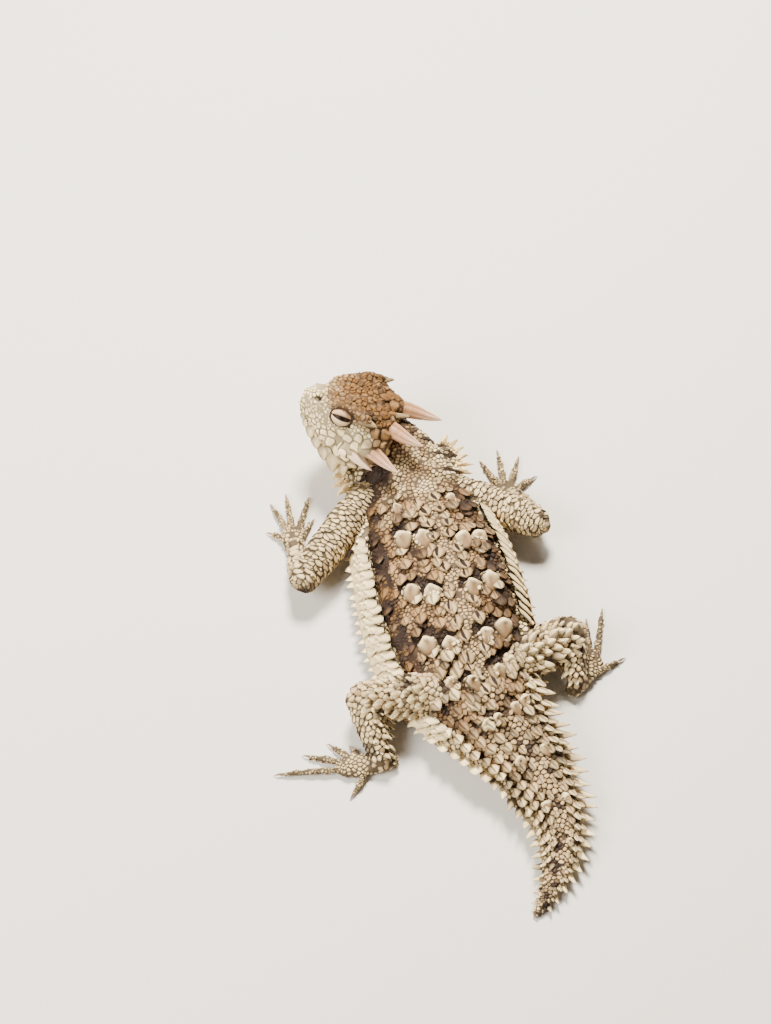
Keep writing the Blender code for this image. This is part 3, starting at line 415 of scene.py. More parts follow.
def digit_tube(name, root, tip):
    """A toe on the floor, a little waisted between its joints."""
    root, tip = np.array((*root, 1.15)), np.array((*tip, 0.0))
    heading = unit((tip - root) * (1, 1, 0))
    length = np.linalg.norm((tip - root)[:2]) - CLAW_LENGTH * 0.8
    u = np.linspace(-0.12, 1.04, 18)
    joints = max(round(length / 3.2), 1)
    radius = DIGIT_RADIUS * np.interp(u, (-0.12, 0.35, 0.9, 1.0, 1.04), (0.9, 1.0, 0.78, 0.5, 0.1))
    radius = radius * (1 + 0.07 * np.cos(2 * pi * u * joints))
    middles = root + heading * length * u[:, None]
    middles[:, 2] = radius * 0.92 + 0.35 * (1 - np.clip(u, 0, 1))
    across = np.cross(heading, UP)
    return Tube(name, middles, radius, radius, across, UP)


def limb_parts():
    """Every tube of the limbs, in order from the shoulder or hip to the toes."""
    tubes = []
    for limb, (top, bend, end) in LIMBS.items():
        upper, lower = LIMB_RADII[limb.split("_")[1]]
        palm_end, half_width, digits = PAWS[limb]
        tubes.append(limb_tube(limb + "_upper", top, bend, upper))
        tubes.append(limb_tube(limb + "_lower", bend, end, lower))
        tubes.append(palm_tube(limb + "_palm", end, palm_end, half_width))
        for number, (root, tip) in enumerate(digits):
            tubes.append(digit_tube(f"{limb}_digit{number}", root, tip))
    return tubes


def ring_quads(rings, sides):
    """Faces between each ring of points and the next."""
    r, k = np.meshgrid(np.arange(rings - 1) * sides, np.arange(sides), indexing="ij")
    j = (k + 1) % sides
    return np.stack([r + k, r + j, r + sides + j, r + sides + k], -1).reshape(-1, 4)


def closed_rings(points):
    """Vertices and faces of a block of rings (rings, sides, 3), with a fan to a middle point at each end."""
    rings, sides, _ = points.shape
    k, base = np.arange(sides), (rings - 1) * sides
    j = (k + 1) % sides
    fans = np.concatenate([np.stack([k, j, np.full(sides, rings * sides)], 1),
                           np.stack([base + j, base + k, np.full(sides, rings * sides + 1)], 1)])
    verts = np.vstack([points.reshape(-1, 3), points[0].mean(0), points[-1].mean(0)])
    return verts, [tuple(f) for f in ring_quads(rings, sides).tolist() + fans.tolist()]


def joined(blocks):
    """Vertices and faces of several blocks of rings together."""
    verts, faces, count = [], [], 0
    for block in blocks:
        v, f = closed_rings(block)
        verts.append(v)
        faces += [tuple(i + count for i in face) for face in f]
        count += len(v)
    return np.vstack(verts), faces


def ball(centre, radii, rings=20, sides=28):
    """An oval ball as a block of rings."""
    rise = np.linspace(-pi / 2, pi / 2, rings + 2)[1:-1, None]
    turn = turns(sides)[None]
    ring = np.stack([np.cos(rise) * np.cos(turn), np.cos(rise) * np.sin(turn), np.sin(rise) + 0 * turn], -1)
    return ring * radii + centre


def link_new(name, data):
    """A new object of the scene."""
    made = bpy.data.objects.new(name, data)
    bpy.context.scene.collection.objects.link(made)
    return made


def make_object(name, verts, faces, look=None):
    """A smooth mesh object from points in millimetres."""
    mesh = bpy.data.meshes.new(name)
    mesh.from_pydata((np.asarray(verts) * MM).tolist(), [], faces)
    mesh.validate()
    mesh.update()
    mesh.shade_smooth()
    made = link_new(name, mesh)
    if look:
        mesh.materials.append(look)
    return made


def put_values(mesh, **values):
    """Stores named values on the mesh's points, each one number for all points or one for each."""
    for name, numbers in values.items():
        layer = mesh.attributes.new(name, "FLOAT", "POINT")
        layer.data.foreach_set("value", np.full(len(mesh.vertices), numbers, np.float32))


def dress(piece, slot, *nodes):
    """Lets the piece ride on the body and stand for its nodes, which it hides; its slot is not used."""
    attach(piece, BODY)
    if nodes:
        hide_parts(*nodes)


# Skin

class Body:
    """The parts that the skin is fused from, each a block of rings with its own chart for colours."""

    def __init__(self, sink):
        self.names, self.blocks, self.charts = [], [], []
        stations = np.linspace(0, TAIL_TIP, TRUNK_RINGS)[:, None]
        around = np.linspace(0, 360, TRUNK_SIDES, endpoint=False)[None]
        self.add("trunk", trunk_point(stations, around, -sink), stations, around / 360)
        f = np.linspace(-0.98, 7.98, HEAD_RINGS)[:, None]
        a = np.linspace(0, 12, HEAD_SIDES, endpoint=False)[None]
        crown = hump(a, 4.6, 7.4, 0.8) * hump(f, 0.5, 5.5, 1.0)
        self.add("head", from_head(head_point(f, a, -sink - 0.35 * crown)), f, a / 12)
        u, around = np.linspace(0, 1, LIMB_RINGS)[:, None], around[:, ::3]
        for tube in limb_parts():
            self.add(tube.name, tube.point(u, around, -sink), u, around / 360)
        for number, (centre, radii) in enumerate(NECK_FOLDS):
            self.add(f"fold{number}", ball(centre, np.array(radii) - sink))
        for side in (-1, 1):
            orbit = ball(mirrored(EYE, side), (ORBIT_RADIUS - sink,) * 3)
            self.add(f"orbit{side}", from_head(orbit))
            self.add(f"brow{side}", self.brow(side, sink))
        for name, *horn in HORNS:
            self.add("collar_" + name, self.collar(*map(np.array, horn)))

    def add(self, name, block, u=None, a=None):
        """Adds a part, with its own place along and around at each ring point."""
        shape = block.shape[:2]
        u = np.broadcast_to(u if u is not None else np.linspace(0, 1, shape[0])[:, None], shape)
        a = np.broadcast_to(a if a is not None else np.linspace(0, 1, shape[1])[None], shape)
        self.names.append(name)
        self.blocks.append(block)
        self.charts.append(np.stack([u, a], -1))

    @staticmethod
    def collar(root, tip, width, depth, past):
        """The sleeve of skin that a horn comes out of."""
        heading = unit(tip - root)
        wide, deep = sides_of(heading)
        turn = turns(28)[None, :, None]
        reach = np.array((-2.2, -1.0, 0.0, 0.6 * past, past, past + 0.25))[:, None, None]
        size = np.array((0.6, 0.72, 0.66, 0.60, 0.50, 0.3))[:, None, None]
        around = wide * np.cos(turn) * width + deep * np.sin(turn) * depth
        return from_head(root + heading * reach + size * around)

    @staticmethod
    def brow(side, sink):
        """The ridge over the eye, which ends in a spine at the back."""
        t = np.linspace(0, len(BROW_LINE) - 1, 40)
        line = along(mirrored(BROW_LINE, side), t)
        radius = np.interp(t, range(len(BROW_RADII)), BROW_RADII)[:, None, None] - sink * 0.3
        out, up = sides_of(unit(np.gradient(line, axis=0)))
        turn = turns(20)[None, :, None]
        return from_head(line[:, None] + radius * (out[:, None] * np.cos(turn) + up[:, None] * np.sin(turn)))

    def places(self):
        """For each face of the joined parts, the number of its part and its place along and around."""
        mids = [np.concatenate([chart[:-1].reshape(-1, 2), chart[0], chart[-1]]) for chart in self.charts]
        return np.repeat(range(len(mids)), [len(m) for m in mids]), np.vstack(mids)


def fused(verts, faces, voxel):
    """One closed surface over overlapping closed parts, as points and faces."""
    made = make_object("fusing", verts, faces)
    remesh = made.modifiers.new("fuse", "REMESH")
    remesh.mode, remesh.voxel_size = "VOXEL", voxel * MM
    relax = made.modifiers.new("relax", "SMOOTH")
    relax.factor, relax.iterations = 0.5, 4
    graph = bpy.context.evaluated_depsgraph_get()
    mesh = bpy.data.meshes.new_from_object(made.evaluated_get(graph))
    bpy.data.objects.remove(made)
    points = np.empty(len(mesh.vertices) * 3)
    mesh.vertices.foreach_get("co", points)
    quads = np.empty(len(mesh.polygons) * 4, int)
    mesh.polygons.foreach_get("vertices", quads)
    bpy.data.meshes.remove(mesh)
    return points.reshape(-1, 3) / MM, quads.reshape(-1, 4)


def vertex_normals(points, quads):
    """Outward direction at each point of a mesh of quads."""
    a, b, c, d = (points[quads[:, k]] for k in range(4))
    flat = np.cross(c - a, d - b)
    total = np.zeros_like(points)
    for k in range(4):
        np.add.at(total, quads[:, k], flat)
    return unit(total)


class Hide:
    """The finished skin: points, directions, and each point's part and place, for all that grows on it."""

    def __init__(self, voxel, sink):
        body = Body(sink)
        verts, faces = joined(body.blocks)
        owner, place = body.places()
        self.names = body.names
        self.points, self.quads = fused(verts, faces, voxel)
        tree = BVHTree.FromPolygons(verts.tolist(), faces)
        hit = np.array([tree.find_nearest(p)[2] for p in self.points.tolist()])
        self.part, self.u, self.a = owner[hit], place[hit, 0], place[hit, 1]
        self.out = vertex_normals(self.points, self.quads)
        self.head_q = to_head(self.points)
        self.kind = np.array([self.family(name) for name in self.names])[self.part]
        self.settle_trunk()
        self.aft = self.directions()
        self.swell, self.hollow = lobe_fields(self.points)
        self.marks()
        self.raise_relief()
        self.out = vertex_normals(self.points, self.quads)
        self.aft = unit(self.aft - self.out * np.sum(self.aft * self.out, 1, keepdims=True))
        self.head_q = to_head(self.points)
        self.tree = BVHTree.FromPolygons(self.points.tolist(), self.quads.tolist())

    def on_skin(self, points):
        """The skin's nearest point to each of these."""
        near = [tuple(self.tree.find_nearest(p)[0]) for p in points.reshape(-1, 3).tolist()]
        return np.array(near).reshape(points.shape)

    def nearest(self, spots):
        """Numbers of the skin's points nearest to the spots."""
        return np.array([self.quads[self.tree.find_nearest(Vector(p))[2]][0] for p in np.asarray(spots)])

    @staticmethod
    def family(name):
        """The family that a part's markings and scales follow."""
        for word in ("trunk", "fold", "upper", "lower", "palm", "digit"):
            if word in name:
                return word
        return "head"

    def settle_trunk(self):
        """Exact place on the trunk, also for the neck's folds: station and angle in degrees."""
        stations = np.linspace(0, TAIL_TIP, 641)
        middle, side, up, _, row = trunk_frame(stations)
        mine = np.isin(self.kind, ("trunk", "fold"))
        p = self.points[mine]
        near = np.concatenate([np.argmin(((chunk[:, None, :2] - middle[None, :, :2]) ** 2).sum(-1), 1)
                               for chunk in np.array_split(p, max(len(p) // 4000, 1))])
        away = p - middle[near]
        height = np.sum(away * up[near], 1)
        across = np.sum(away * side[near], 1) - BACK_LEAN * np.maximum(height, 0) / 12.0
        high = np.where(height > 0, row[near, 4], row[near, 5])
        c, s = across / row[near, 3], height / high
        power = np.where(s > 0, BACK_SQUARE, BELLY_SQUARE) / 2
        turn = np.degrees(np.arctan2(np.sign(s) * np.abs(s) ** power, np.sign(c) * np.abs(c) ** power))
        self.t = np.full(len(self.points), -1.0)
        self.angle = np.zeros(len(self.points))
        self.t[mine], self.angle[mine] = stations[near], np.mod(turn, 360)
        self.rise = 90 - np.abs(np.mod(self.angle + 90, 360) - 180)

    def directions(self):
        """The way that scales lie at each point: to the tail, the back of the head, or the toes."""
        aft = np.tile(unit(from_head([(0, -1.0, 0)]) - from_head([(0, 0, 0)])), (len(self.points), 1))
        on_trunk = self.t >= 0
        aft[on_trunk] = trunk_frame(self.t[on_trunk])[3]
        for tube in limb_parts():
            mine = self.part == self.names.index(tube.name)
            aft[mine] = tube.heading
        return aft

    def marks(self):
        """The markings: how dark, pale and rusty each point is."""
        n = len(self.points)
        self.dark, self.pale, self.warm = np.zeros(n), np.zeros(n), np.zeros(n)
        for kind, paint in (("trunk", paint_trunk), ("fold", paint_trunk), ("head", paint_head),
                            ("upper", paint_limb), ("lower", paint_limb), ("palm", paint_paw),
                            ("digit", paint_paw)):
            mine = self.kind == kind
            if mine.any():
                self.dark[mine], self.pale[mine], self.warm[mine] = paint(self, mine)

    def raise_relief(self):
        """Folds, hollows and swellings of the skin, and the sockets of the eyes."""
        rise = 0.30 * (lumps(self.points, 3.2, 1) - 0.5) + 0.22 * (lumps(self.points, 1.5, 2) - 0.5)
        on_trunk, on_head = self.t >= 0, self.kind == "head"
        height = np.where(on_trunk, self.rise, 0)
        edge = np.where(self.angle > 90, 27, 42)
        groove = bell(height, 5.0, edge) * smooth(self.t, 3.0, 3.8) * (1 - smooth(self.t, 8.4, 9.2))
        fold = 0.3 * np.sin(self.t * 9.0 + 2.0 * lumps(self.points, 5.0, 3) + height / 14.0)
        fold = fold * hump(self.t, 2.4, 9.6, 0.6) * hump(height, 30, 75, 8)
        rise = rise + (fold - 0.9 * groove + 1.0 * self.swell - 0.6 * self.hollow) * on_trunk
        rise = np.where(on_trunk & (self.rise < BELLY_EDGE), rise * 0.15, rise)
        rise = np.where(on_head, rise * 0.4 + head_relief(self.head_q), rise)
        rise = np.where(np.isin(self.kind, ("palm", "digit")), rise * 0.2, rise)
        self.points = self.points + self.out * rise[:, None]
        q = to_head(self.points)
        for side in (-1, 1):
            centre = mirrored(EYE, side)
            ring, ahead = eye_ring(q, side)
            open_here = (1 - smooth(ring, 0.86, 1.0)) * (ahead > 0) * on_head
            q = q + (centre + unit(q - centre) * SOCKET_RADIUS - q) * open_here[:, None]
        self.points = np.where(on_head[:, None], from_head(q), self.points)
        self.points[:, 2] = np.maximum(self.points[:, 2], 0.03)


def eye_ring(q, side):
    """Where head points lie round an eye: 1 is the rim of its opening; and how far ahead of its middle."""
    away, gaze = q - mirrored(EYE, side), unit(mirrored(GAZE, side))
    rise = away @ unit(np.cross(gaze, (0, 1.0, 0))) * side
    return np.hypot(away[:, 1] / 2.7, rise / 2.2), away @ gaze


def lobe_fields(points):
    """How much each point lies on a pale swelling of the back, and in the dark hollow in front of one."""
    t, angle, sizes = np.array(LOBES).T
    spots, aft = trunk_point(t, angle), trunk_frame(t)[3]
    out = unit(np.cross(trunk_point(t, angle + 3) - spots, aft))
    across = np.cross(out, aft)
    bent = warped(points, 1.1, 2.2, 4)
    swell, hollow = np.zeros(len(points)), np.zeros(len(points))
    for spot, rear, side, size in zip(spots, aft, across, sizes):
        near = np.flatnonzero(np.linalg.norm(points - spot, axis=1) < 6)
        x, y = (bent[near] - spot) @ rear / size, (bent[near] - spot) @ side / size
        x = x - 0.14 * y * y
        body = hump(y, -1.7, 1.7, 0.6) * smooth(x, -1.7, -1.2) * (1 - smooth(x, 0.6, 2.6))
        front = hump(y, -3.0, 3.0, 0.5) * hump(x, -4.3, -1.7, 0.4)
        swell[near] = np.maximum(swell[near], min(size + 0.1, 1) * body)
        hollow[near] = np.maximum(hollow[near], min(size + 0.1, 1) * front)
    return swell, hollow * (1 - swell)


def near_line(points, line):
    """Distance of each point from a polyline, and how far along it the nearest spot lies, from 0 to 1."""
    line = np.asarray(line, float)
    best, where = np.full(len(points), FAR), np.zeros(len(points))
    for i in range(len(line) - 1):
        step = line[i + 1] - line[i]
        u = np.clip((points - line[i]) @ step / (step @ step), 0, 1)
        away = np.linalg.norm(points - line[i] - u[:, None] * step, axis=1)
        closer = away < best
        best[closer], where[closer] = away[closer], (i + u[closer]) / (len(line) - 1)
    return best, where


def on_right(q):
    """Head points folded onto the right side."""
    return np.column_stack([np.abs(q[:, 0]), q[:, 1], q[:, 2]])


def head_relief(q):
    """Rise of the skin on the head: mouth, nostrils, ears, lips, temples and wrinkled crown."""
    r = on_right(q)
    mouth, _ = near_line(r, LIP_LINE)
    rise = -0.75 * bell(mouth, 0.32) + 0.22 * bell(mouth, 0.5, 1.0)
    nostril = oval(r, NOSTRIL, NOSTRIL_SIZE)
    rise = rise - 1.2 * np.exp(-nostril**4) + 0.25 * bell(nostril, 0.5, 1.7)
    rise = rise - 0.8 * np.exp(-oval(r, EAR, EAR_SIZE) ** 4)
    rise = rise - 0.55 * bell(oval(r, (9.4, 4.6, 3.4), (1.6, 2.0, 2.2)), 1.0)
    crown = smooth(r[:, 2], 4.6, 6.0) * (1 - smooth(r[:, 0], 6.4, 7.6)) * smooth(r[:, 1], -0.5, 2.0)
    wrinkle = np.abs(lumps(q * (1.0, 0.75, 1.0), 1.7, 11) - 0.5) + 0.7 * np.abs(lumps(q, 0.95, 12) - 0.5)
    return rise + crown * (0.55 - 1.9 * wrinkle) * 0.7


# Markings

def paint_trunk(hide, mine):
    """Pale lobes behind dark hollows, a tan stripe on the spine, brown flanks and a cream fringe."""
    t, rise, p = hide.t[mine], hide.rise[mine], hide.points[mine]
    swell, hollow = hide.swell[mine], hide.hollow[mine]
    left = (hide.angle[mine] > 90) & (hide.angle[mine] < 270)
    off = 90 - rise
    rough, broad = lumps(p, 1.3, 6), lumps(p, 3.4, 7)
    blotch = smooth(broad + 0.4 * (rough - 0.5), 0.42, 0.60)
    torso = hump(t, 2.9, 9.2, 0.5)
    edge = np.where(left, 62, 46)
    fleck = smooth(lumps(p, 1.0, 13), 0.62, 0.8)
    warm = 0.25 + 0.5 * smooth(lumps(p, 2.3, 9), 0.4, 0.7)
    pale = 0.35 * smooth(lumps(p, 2.9, 5), 0.5, 0.75)
    dark = 0.75 * smooth(lumps(p, 1.7, 8), 0.55, 0.78)
    stripe = hump(off, 0, 7, 4) * torso
    pale, dark, warm = np.maximum(pale, 0.25 * stripe), dark * (1 - 0.6 * stripe), warm * (1 - 0.5 * stripe)
    flank = hump(off, edge - 17, edge - 2, 4) * torso
    dark = np.maximum(dark, flank * (0.25 + 0.7 * blotch))
    warm = np.maximum(warm, flank * 0.9)
    dark = np.maximum(dark * (1 - swell), hollow)
    pale = np.maximum(pale * (1 - hollow), swell * (0.8 + 0.2 * rough))
    warm = warm * (1 - 0.85 * swell)
    fringe = hump(off, edge, 97, 4) * smooth(t, 2.6, 3.2)
    pale = np.maximum(pale, fringe)
    dark, warm = dark * (1 - fringe), warm * (1 - 0.8 * fringe)
    under = hump(off, 99, 112, 5) * (t < 9.6)
    dark = np.maximum(dark, 0.45 * under * blotch)
    belly = smooth(off, 118, 132)
    spots = smooth(lumps(p, 2.6, 12), 0.66, 0.74) * 0.35
    pale = np.maximum(pale * (1 - belly), 0.75 * belly)
    dark = dark * (1 - belly) + belly * spots
    warm = warm * (1 - belly) + 0.15 * belly
    nape = hump(t, 1.6, 3.1, 0.35) * (1 - smooth(off, 34, 50))
    # The left side of the neck is dark: a brown blotch and the head's painted shadow; the right side is pale
    # with dark bars.
    side_neck = (1 - smooth(t, 2.4, 3.1)) * smooth(off, 24, 40) * (1 - belly)
    bars = 0.9 * smooth(np.sin(t * 14), 0.1, 0.6)
    dark = np.maximum(dark * (1 - 0.7 * nape), side_neck * np.where(left, 0.8 + 0.2 * blotch, bars))
    pale = np.maximum(pale * (1 - side_neck * left), nape * (0.35 + 0.4 * broad))
    pale = np.maximum(pale, side_neck * ~left * 0.9)
    warm = warm * (1 - side_neck * ~left)
    tail = smooth(t, 9.2, 10.6)
    pale = np.maximum(pale * (1 - 0.3 * tail), tail * (0.05 + 0.5 * lumps(p, 2.2, 10)))
    warm = warm * (1 - tail) + tail * (0.25 + 0.5 * fleck) * (1 - smooth(t, 12.5, 14.5))
    dark = np.maximum(dark * (1 - 0.2 * tail), 0.85 * fleck * tail * (1 - belly))
    return dark, pale, warm


def paint_head(hide, mine):
    """A rusty crown over a cream face, dark creases at the lips, painted shade at lids, temples, nostrils,
    ears and jaw.
    """
    q = hide.head_q[mine]
    r = on_right(q)
    rough = lumps(q, 1.3, 21) - 0.5
    x, y, z = r.T
    top = z - np.interp(y, (0, 6, 12, 17, 20, 22), (1.6, 3.8, 4.9, 4.6, 4.6, 5.0)) + 1.8 * rough
    brow, _ = near_line(r, BROW_LINE)
    warm = smooth(top, -1.0, 2.0) * (1 - smooth(y + 3 * rough, 15.6, 20.4)) * (1 - 0.45 * bell(brow, 0.9))
    warm = warm * (0.84 + 0.16 * smooth(lumps(q, 2.2, 23), 0.35, 0.6)) + 0.04
    warm = np.maximum(warm, 0.7 * (1 - smooth(y, 1.5, 5.5)) * smooth(z, -1.6, 1.2))
    pale = 1.0 - warm + 0.3 * warm * smooth(rough, 0.1, 0.4)
    dark = 0.6 * smooth(lumps(q, 0.9, 22), 0.6, 0.8) * warm
    # A darker brown patch at the jaw's corner: painted shade under the jaw.
    corner = np.exp(-oval(r, (9.4, 7.8, -6.6), (2.0, 2.0, 1.4)) ** 4)
    warm, dark = np.maximum(warm, 0.45 * corner), np.maximum(dark, 0.35 * corner)
    mouth, _ = near_line(r, LIP_LINE)
    # Painted shade: the crease at the temple, the hollow behind the eye, the rim round the lids (stronger
    # below and at the corners), the nostrils and the ears are darkened.
    groove_shade, _ = near_line(r, ((8.9, 4.4, 4.2), (8.5, 4.2, 5.8), (6.8, 4.6, 7.1)))
    eye_hollow_shade, _ = near_line(r, ((7.8, 8.4, 3.9), (9.0, 5.6, 3.2)))
    ring, ahead = eye_ring(r, 1)
    shade = np.clip(0.6 + 0.6 * np.abs(y - EYE[1]) / 2.7 - 0.1 * (z - EYE[2]), 0, 1)
    rim = hump(ring, 0.5, 1.06, 0.1) * (ahead > 0) * shade
    dark = np.maximum.reduce([
        dark, 0.95 * bell(mouth, 0.3), np.exp(-(oval(r, NOSTRIL, NOSTRIL_SIZE) / 1.05) ** 6),
        np.exp(-oval(r, EAR, EAR_SIZE) ** 4), 0.8 * bell(groove_shade, 0.5), 0.7 * bell(eye_hollow_shade, 0.35), 0.95 * rim])
    pale = np.maximum(pale, smooth(-z, 7.4, 8.6) * 0.8)
    return dark, pale, warm


def paint_limb(hide, mine):
    """Cream and tan limbs, with thin dark cross waves of painted shade between the arms' scale rows, and
    brown mottling on the legs.
    """
    u, p = hide.u[mine], hide.points[mine]
    names = np.array(hide.names)[hide.part[mine]]
    leg, lower = (np.array([word in name for name in names]) for word in ("leg", "lower"))
    rough, broad = lumps(p, 1.3, 31), lumps(p, 4.0, 32)
    long = np.sum(p * hide.aft[mine], 1)
    wave = np.sin(2 * pi * (long + 1.6 * lumps(p, 2.6, 33)) / 1.45)
    pale = np.where(leg, 0.25 + 0.6 * broad, 0.7)
    warm = np.where(leg, 0.5 * smooth(rough, 0.5, 0.75), 0.2)
    # Painted shade: thin dark lines across the arms, where rows of scales overlap.
    lines = smooth(wave + 0.5 * (rough - 0.5), 0.6, 0.9) * smooth(u, 0.12, 0.25)
    dark = np.where(leg, 0.8 * smooth(broad * 0.5 + rough * 0.5, 0.50, 0.66),
                    np.maximum(0.3 * lines, 0.7 * smooth(rough, 0.55, 0.75) * smooth(u, 0.75, 0.9) * ~lower))
    return dark, pale, warm


def paint_paw(hide, mine):
    """Yellowish cream hands and feet with a few brown bars across the toes."""
    u, p = hide.u[mine], hide.points[mine]
    bars = smooth(np.sin(u * 19.0) + 0.8 * (lumps(p, 1.5, 41) - 0.5), 0.55, 0.95)
    return 0.15 * bars, np.full(len(u), 0.72), 0.14 + 0.25 * lumps(p, 2.0, 42)


# Scales

# Kind: sides, edge height, height half way in, top height, how far the top leans aft, overlap, lift of the
# rear edge and keel, as shares of the scale's own radius except for the heights, which are millimetres,
# then how much wider than long it is, and how rough.
SCALE_KINDS = {
    "granule": (8, 0.05, 0.15, 0.2, 0.2, 0.1, 0.12, 0.05, 1.15, 0.08),
    "bead": (8, 0.1, 0.26, 0.36, 0.15, 0, 0.05, 0.05, 1, 0.05),
    "fine": (8, 0.05, 0.1, 0.13, 0.1, 0, 0, 0, 1, 0.04),
    "keeled": (8, 0.06, 0.18, 0.3, 0.35, 0.35, 0.3, 0.25, 1.15, 0.08),
    "row": (8, 0.05, 0.13, 0.17, 0.25, 0.35, 0.32, 0.05, 1.9, 0.06),
    "belly": (8, 0.05, 0.1, 0.13, 0.1, 0.2, 0.08, 0, 1, 0),
    "plate": (18, 0.08, 0.18, 0.22, 0, 0, 0, 0, 1, 0.07),
    "crown": (18, 0.07, 0.14, 0.15, 0, 0, 0, 0, 1, 0.42),
    "knob": (18, 0.15, 0.4, 0.6, 0.45, 0.1, 0.1, 0.2, 1, 0.2),
    "band": (8, 0.05, 0.16, 0.2, 0.2, 0.2, 0.14, 0, 1.4, 0),
}
KIND_NAMES = tuple(SCALE_KINDS)
KIND_TABLE = np.array([SCALE_KINDS[name] for name in KIND_NAMES])


def scale_plan(hide):
    """The width of the scales and their kind at each point of the skin."""
    n = len(hide.points)
    width, kind = np.full(n, 0.95), np.full(n, KIND_NAMES.index("granule"))
    rise, t = hide.rise, hide.t

    def choose(where, name, size):
        kind[where] = KIND_NAMES.index(name)
        width[where] = np.broadcast_to(size, n)[where]

    trunk = np.isin(hide.kind, ("trunk", "fold"))
    choose(trunk & (rise > BELLY_EDGE), "granule", 0.68 + 0.25 * lumps(hide.points, 2.5, 51))
    choose(trunk & (rise <= BELLY_EDGE), "belly", 1.05)
    tail, knots = trunk & (t > TORSO_END - 0.5), (9, 12, 15, 16)
    choose(tail & (rise > -30), "keeled", np.interp(t, knots, (1.3, 1.15, 0.75, 0.5)))
    choose(tail & (rise <= -30), "belly", np.interp(t, knots, (1.15, 1.1, 0.7, 0.5)))
    limb = np.isin(hide.kind, ("upper", "lower"))
    choose(limb, "keeled", 1.2)
    choose(limb & np.array(["arm" in name for name in hide.names])[hide.part], "row", 1.35)
    choose(hide.kind == "palm", "bead", 0.85)
    choose(hide.kind == "digit", "band", 0.75)
    r = on_right(hide.head_q)
    x, y, z = r.T
    head = hide.kind == "head"
    choose(head, "fine", 0.8)
    lower = np.interp(y, (2, 8, 12, 16, 20), (-0.6, -1.6, -1.6, -0.8, 0.2))
    choose(head & (z < lower) & (x > 4.2) & (y < 15), "plate", np.interp(y, (3, 9, 15), (1.7, 1.8, 1.3)))
    choose(head & (z < 2.2 - 0.12 * y) & (z > -6) & (x > 5) & (y < 13) & (y > 1), "plate", 2.2)
    choose(head & (z < lower) & (y >= 15), "plate", 1.0)
    crown = head & (z > np.interp(y, (0, 6, 12, 17, 20), (2.4, 4.8, 5.6, 4.4, 4.2))) & (y < 17.6)
    choose(crown, "crown", np.interp(y, (0, 5, 12, 18, 22), (1.2, 1.15, 1.15, 0.9, 0.7)))
    choose(head & (y < 3.2) & (z > -2), "crown", 1.3)
    choose(head & (z < np.interp(y, (0, 8, 14, 20), (-6.6, -8.6, -7.2, -4.4))), "belly", 0.85)
    ring, ahead = eye_ring(r, 1)
    choose(head & (ring < 1.35) & (ahead > 0), "fine", 0.6)
    return width, kind


def point_tree(points):
    """A search tree over the points."""
    tree = KDTree(len(points))
    for i, p in enumerate(points.tolist()):
        tree.insert(p, i)
    tree.balance()
    return tree


def pick_roots(points, width, order):
    """Picks points one after another in the given order, each taking the room of its own scale."""
    tree, free, chosen = point_tree(points), np.ones(len(points), bool), []
    spots, room = points.tolist(), width.tolist()
    for i in order.tolist():
        if free[i]:
            chosen.append(i)
            for _, j, far in tree.find_range(spots[i], room[i] * 1.3):
                if far < 0.5 * (room[i] + room[j]):
                    free[j] = False
    return np.array(chosen)


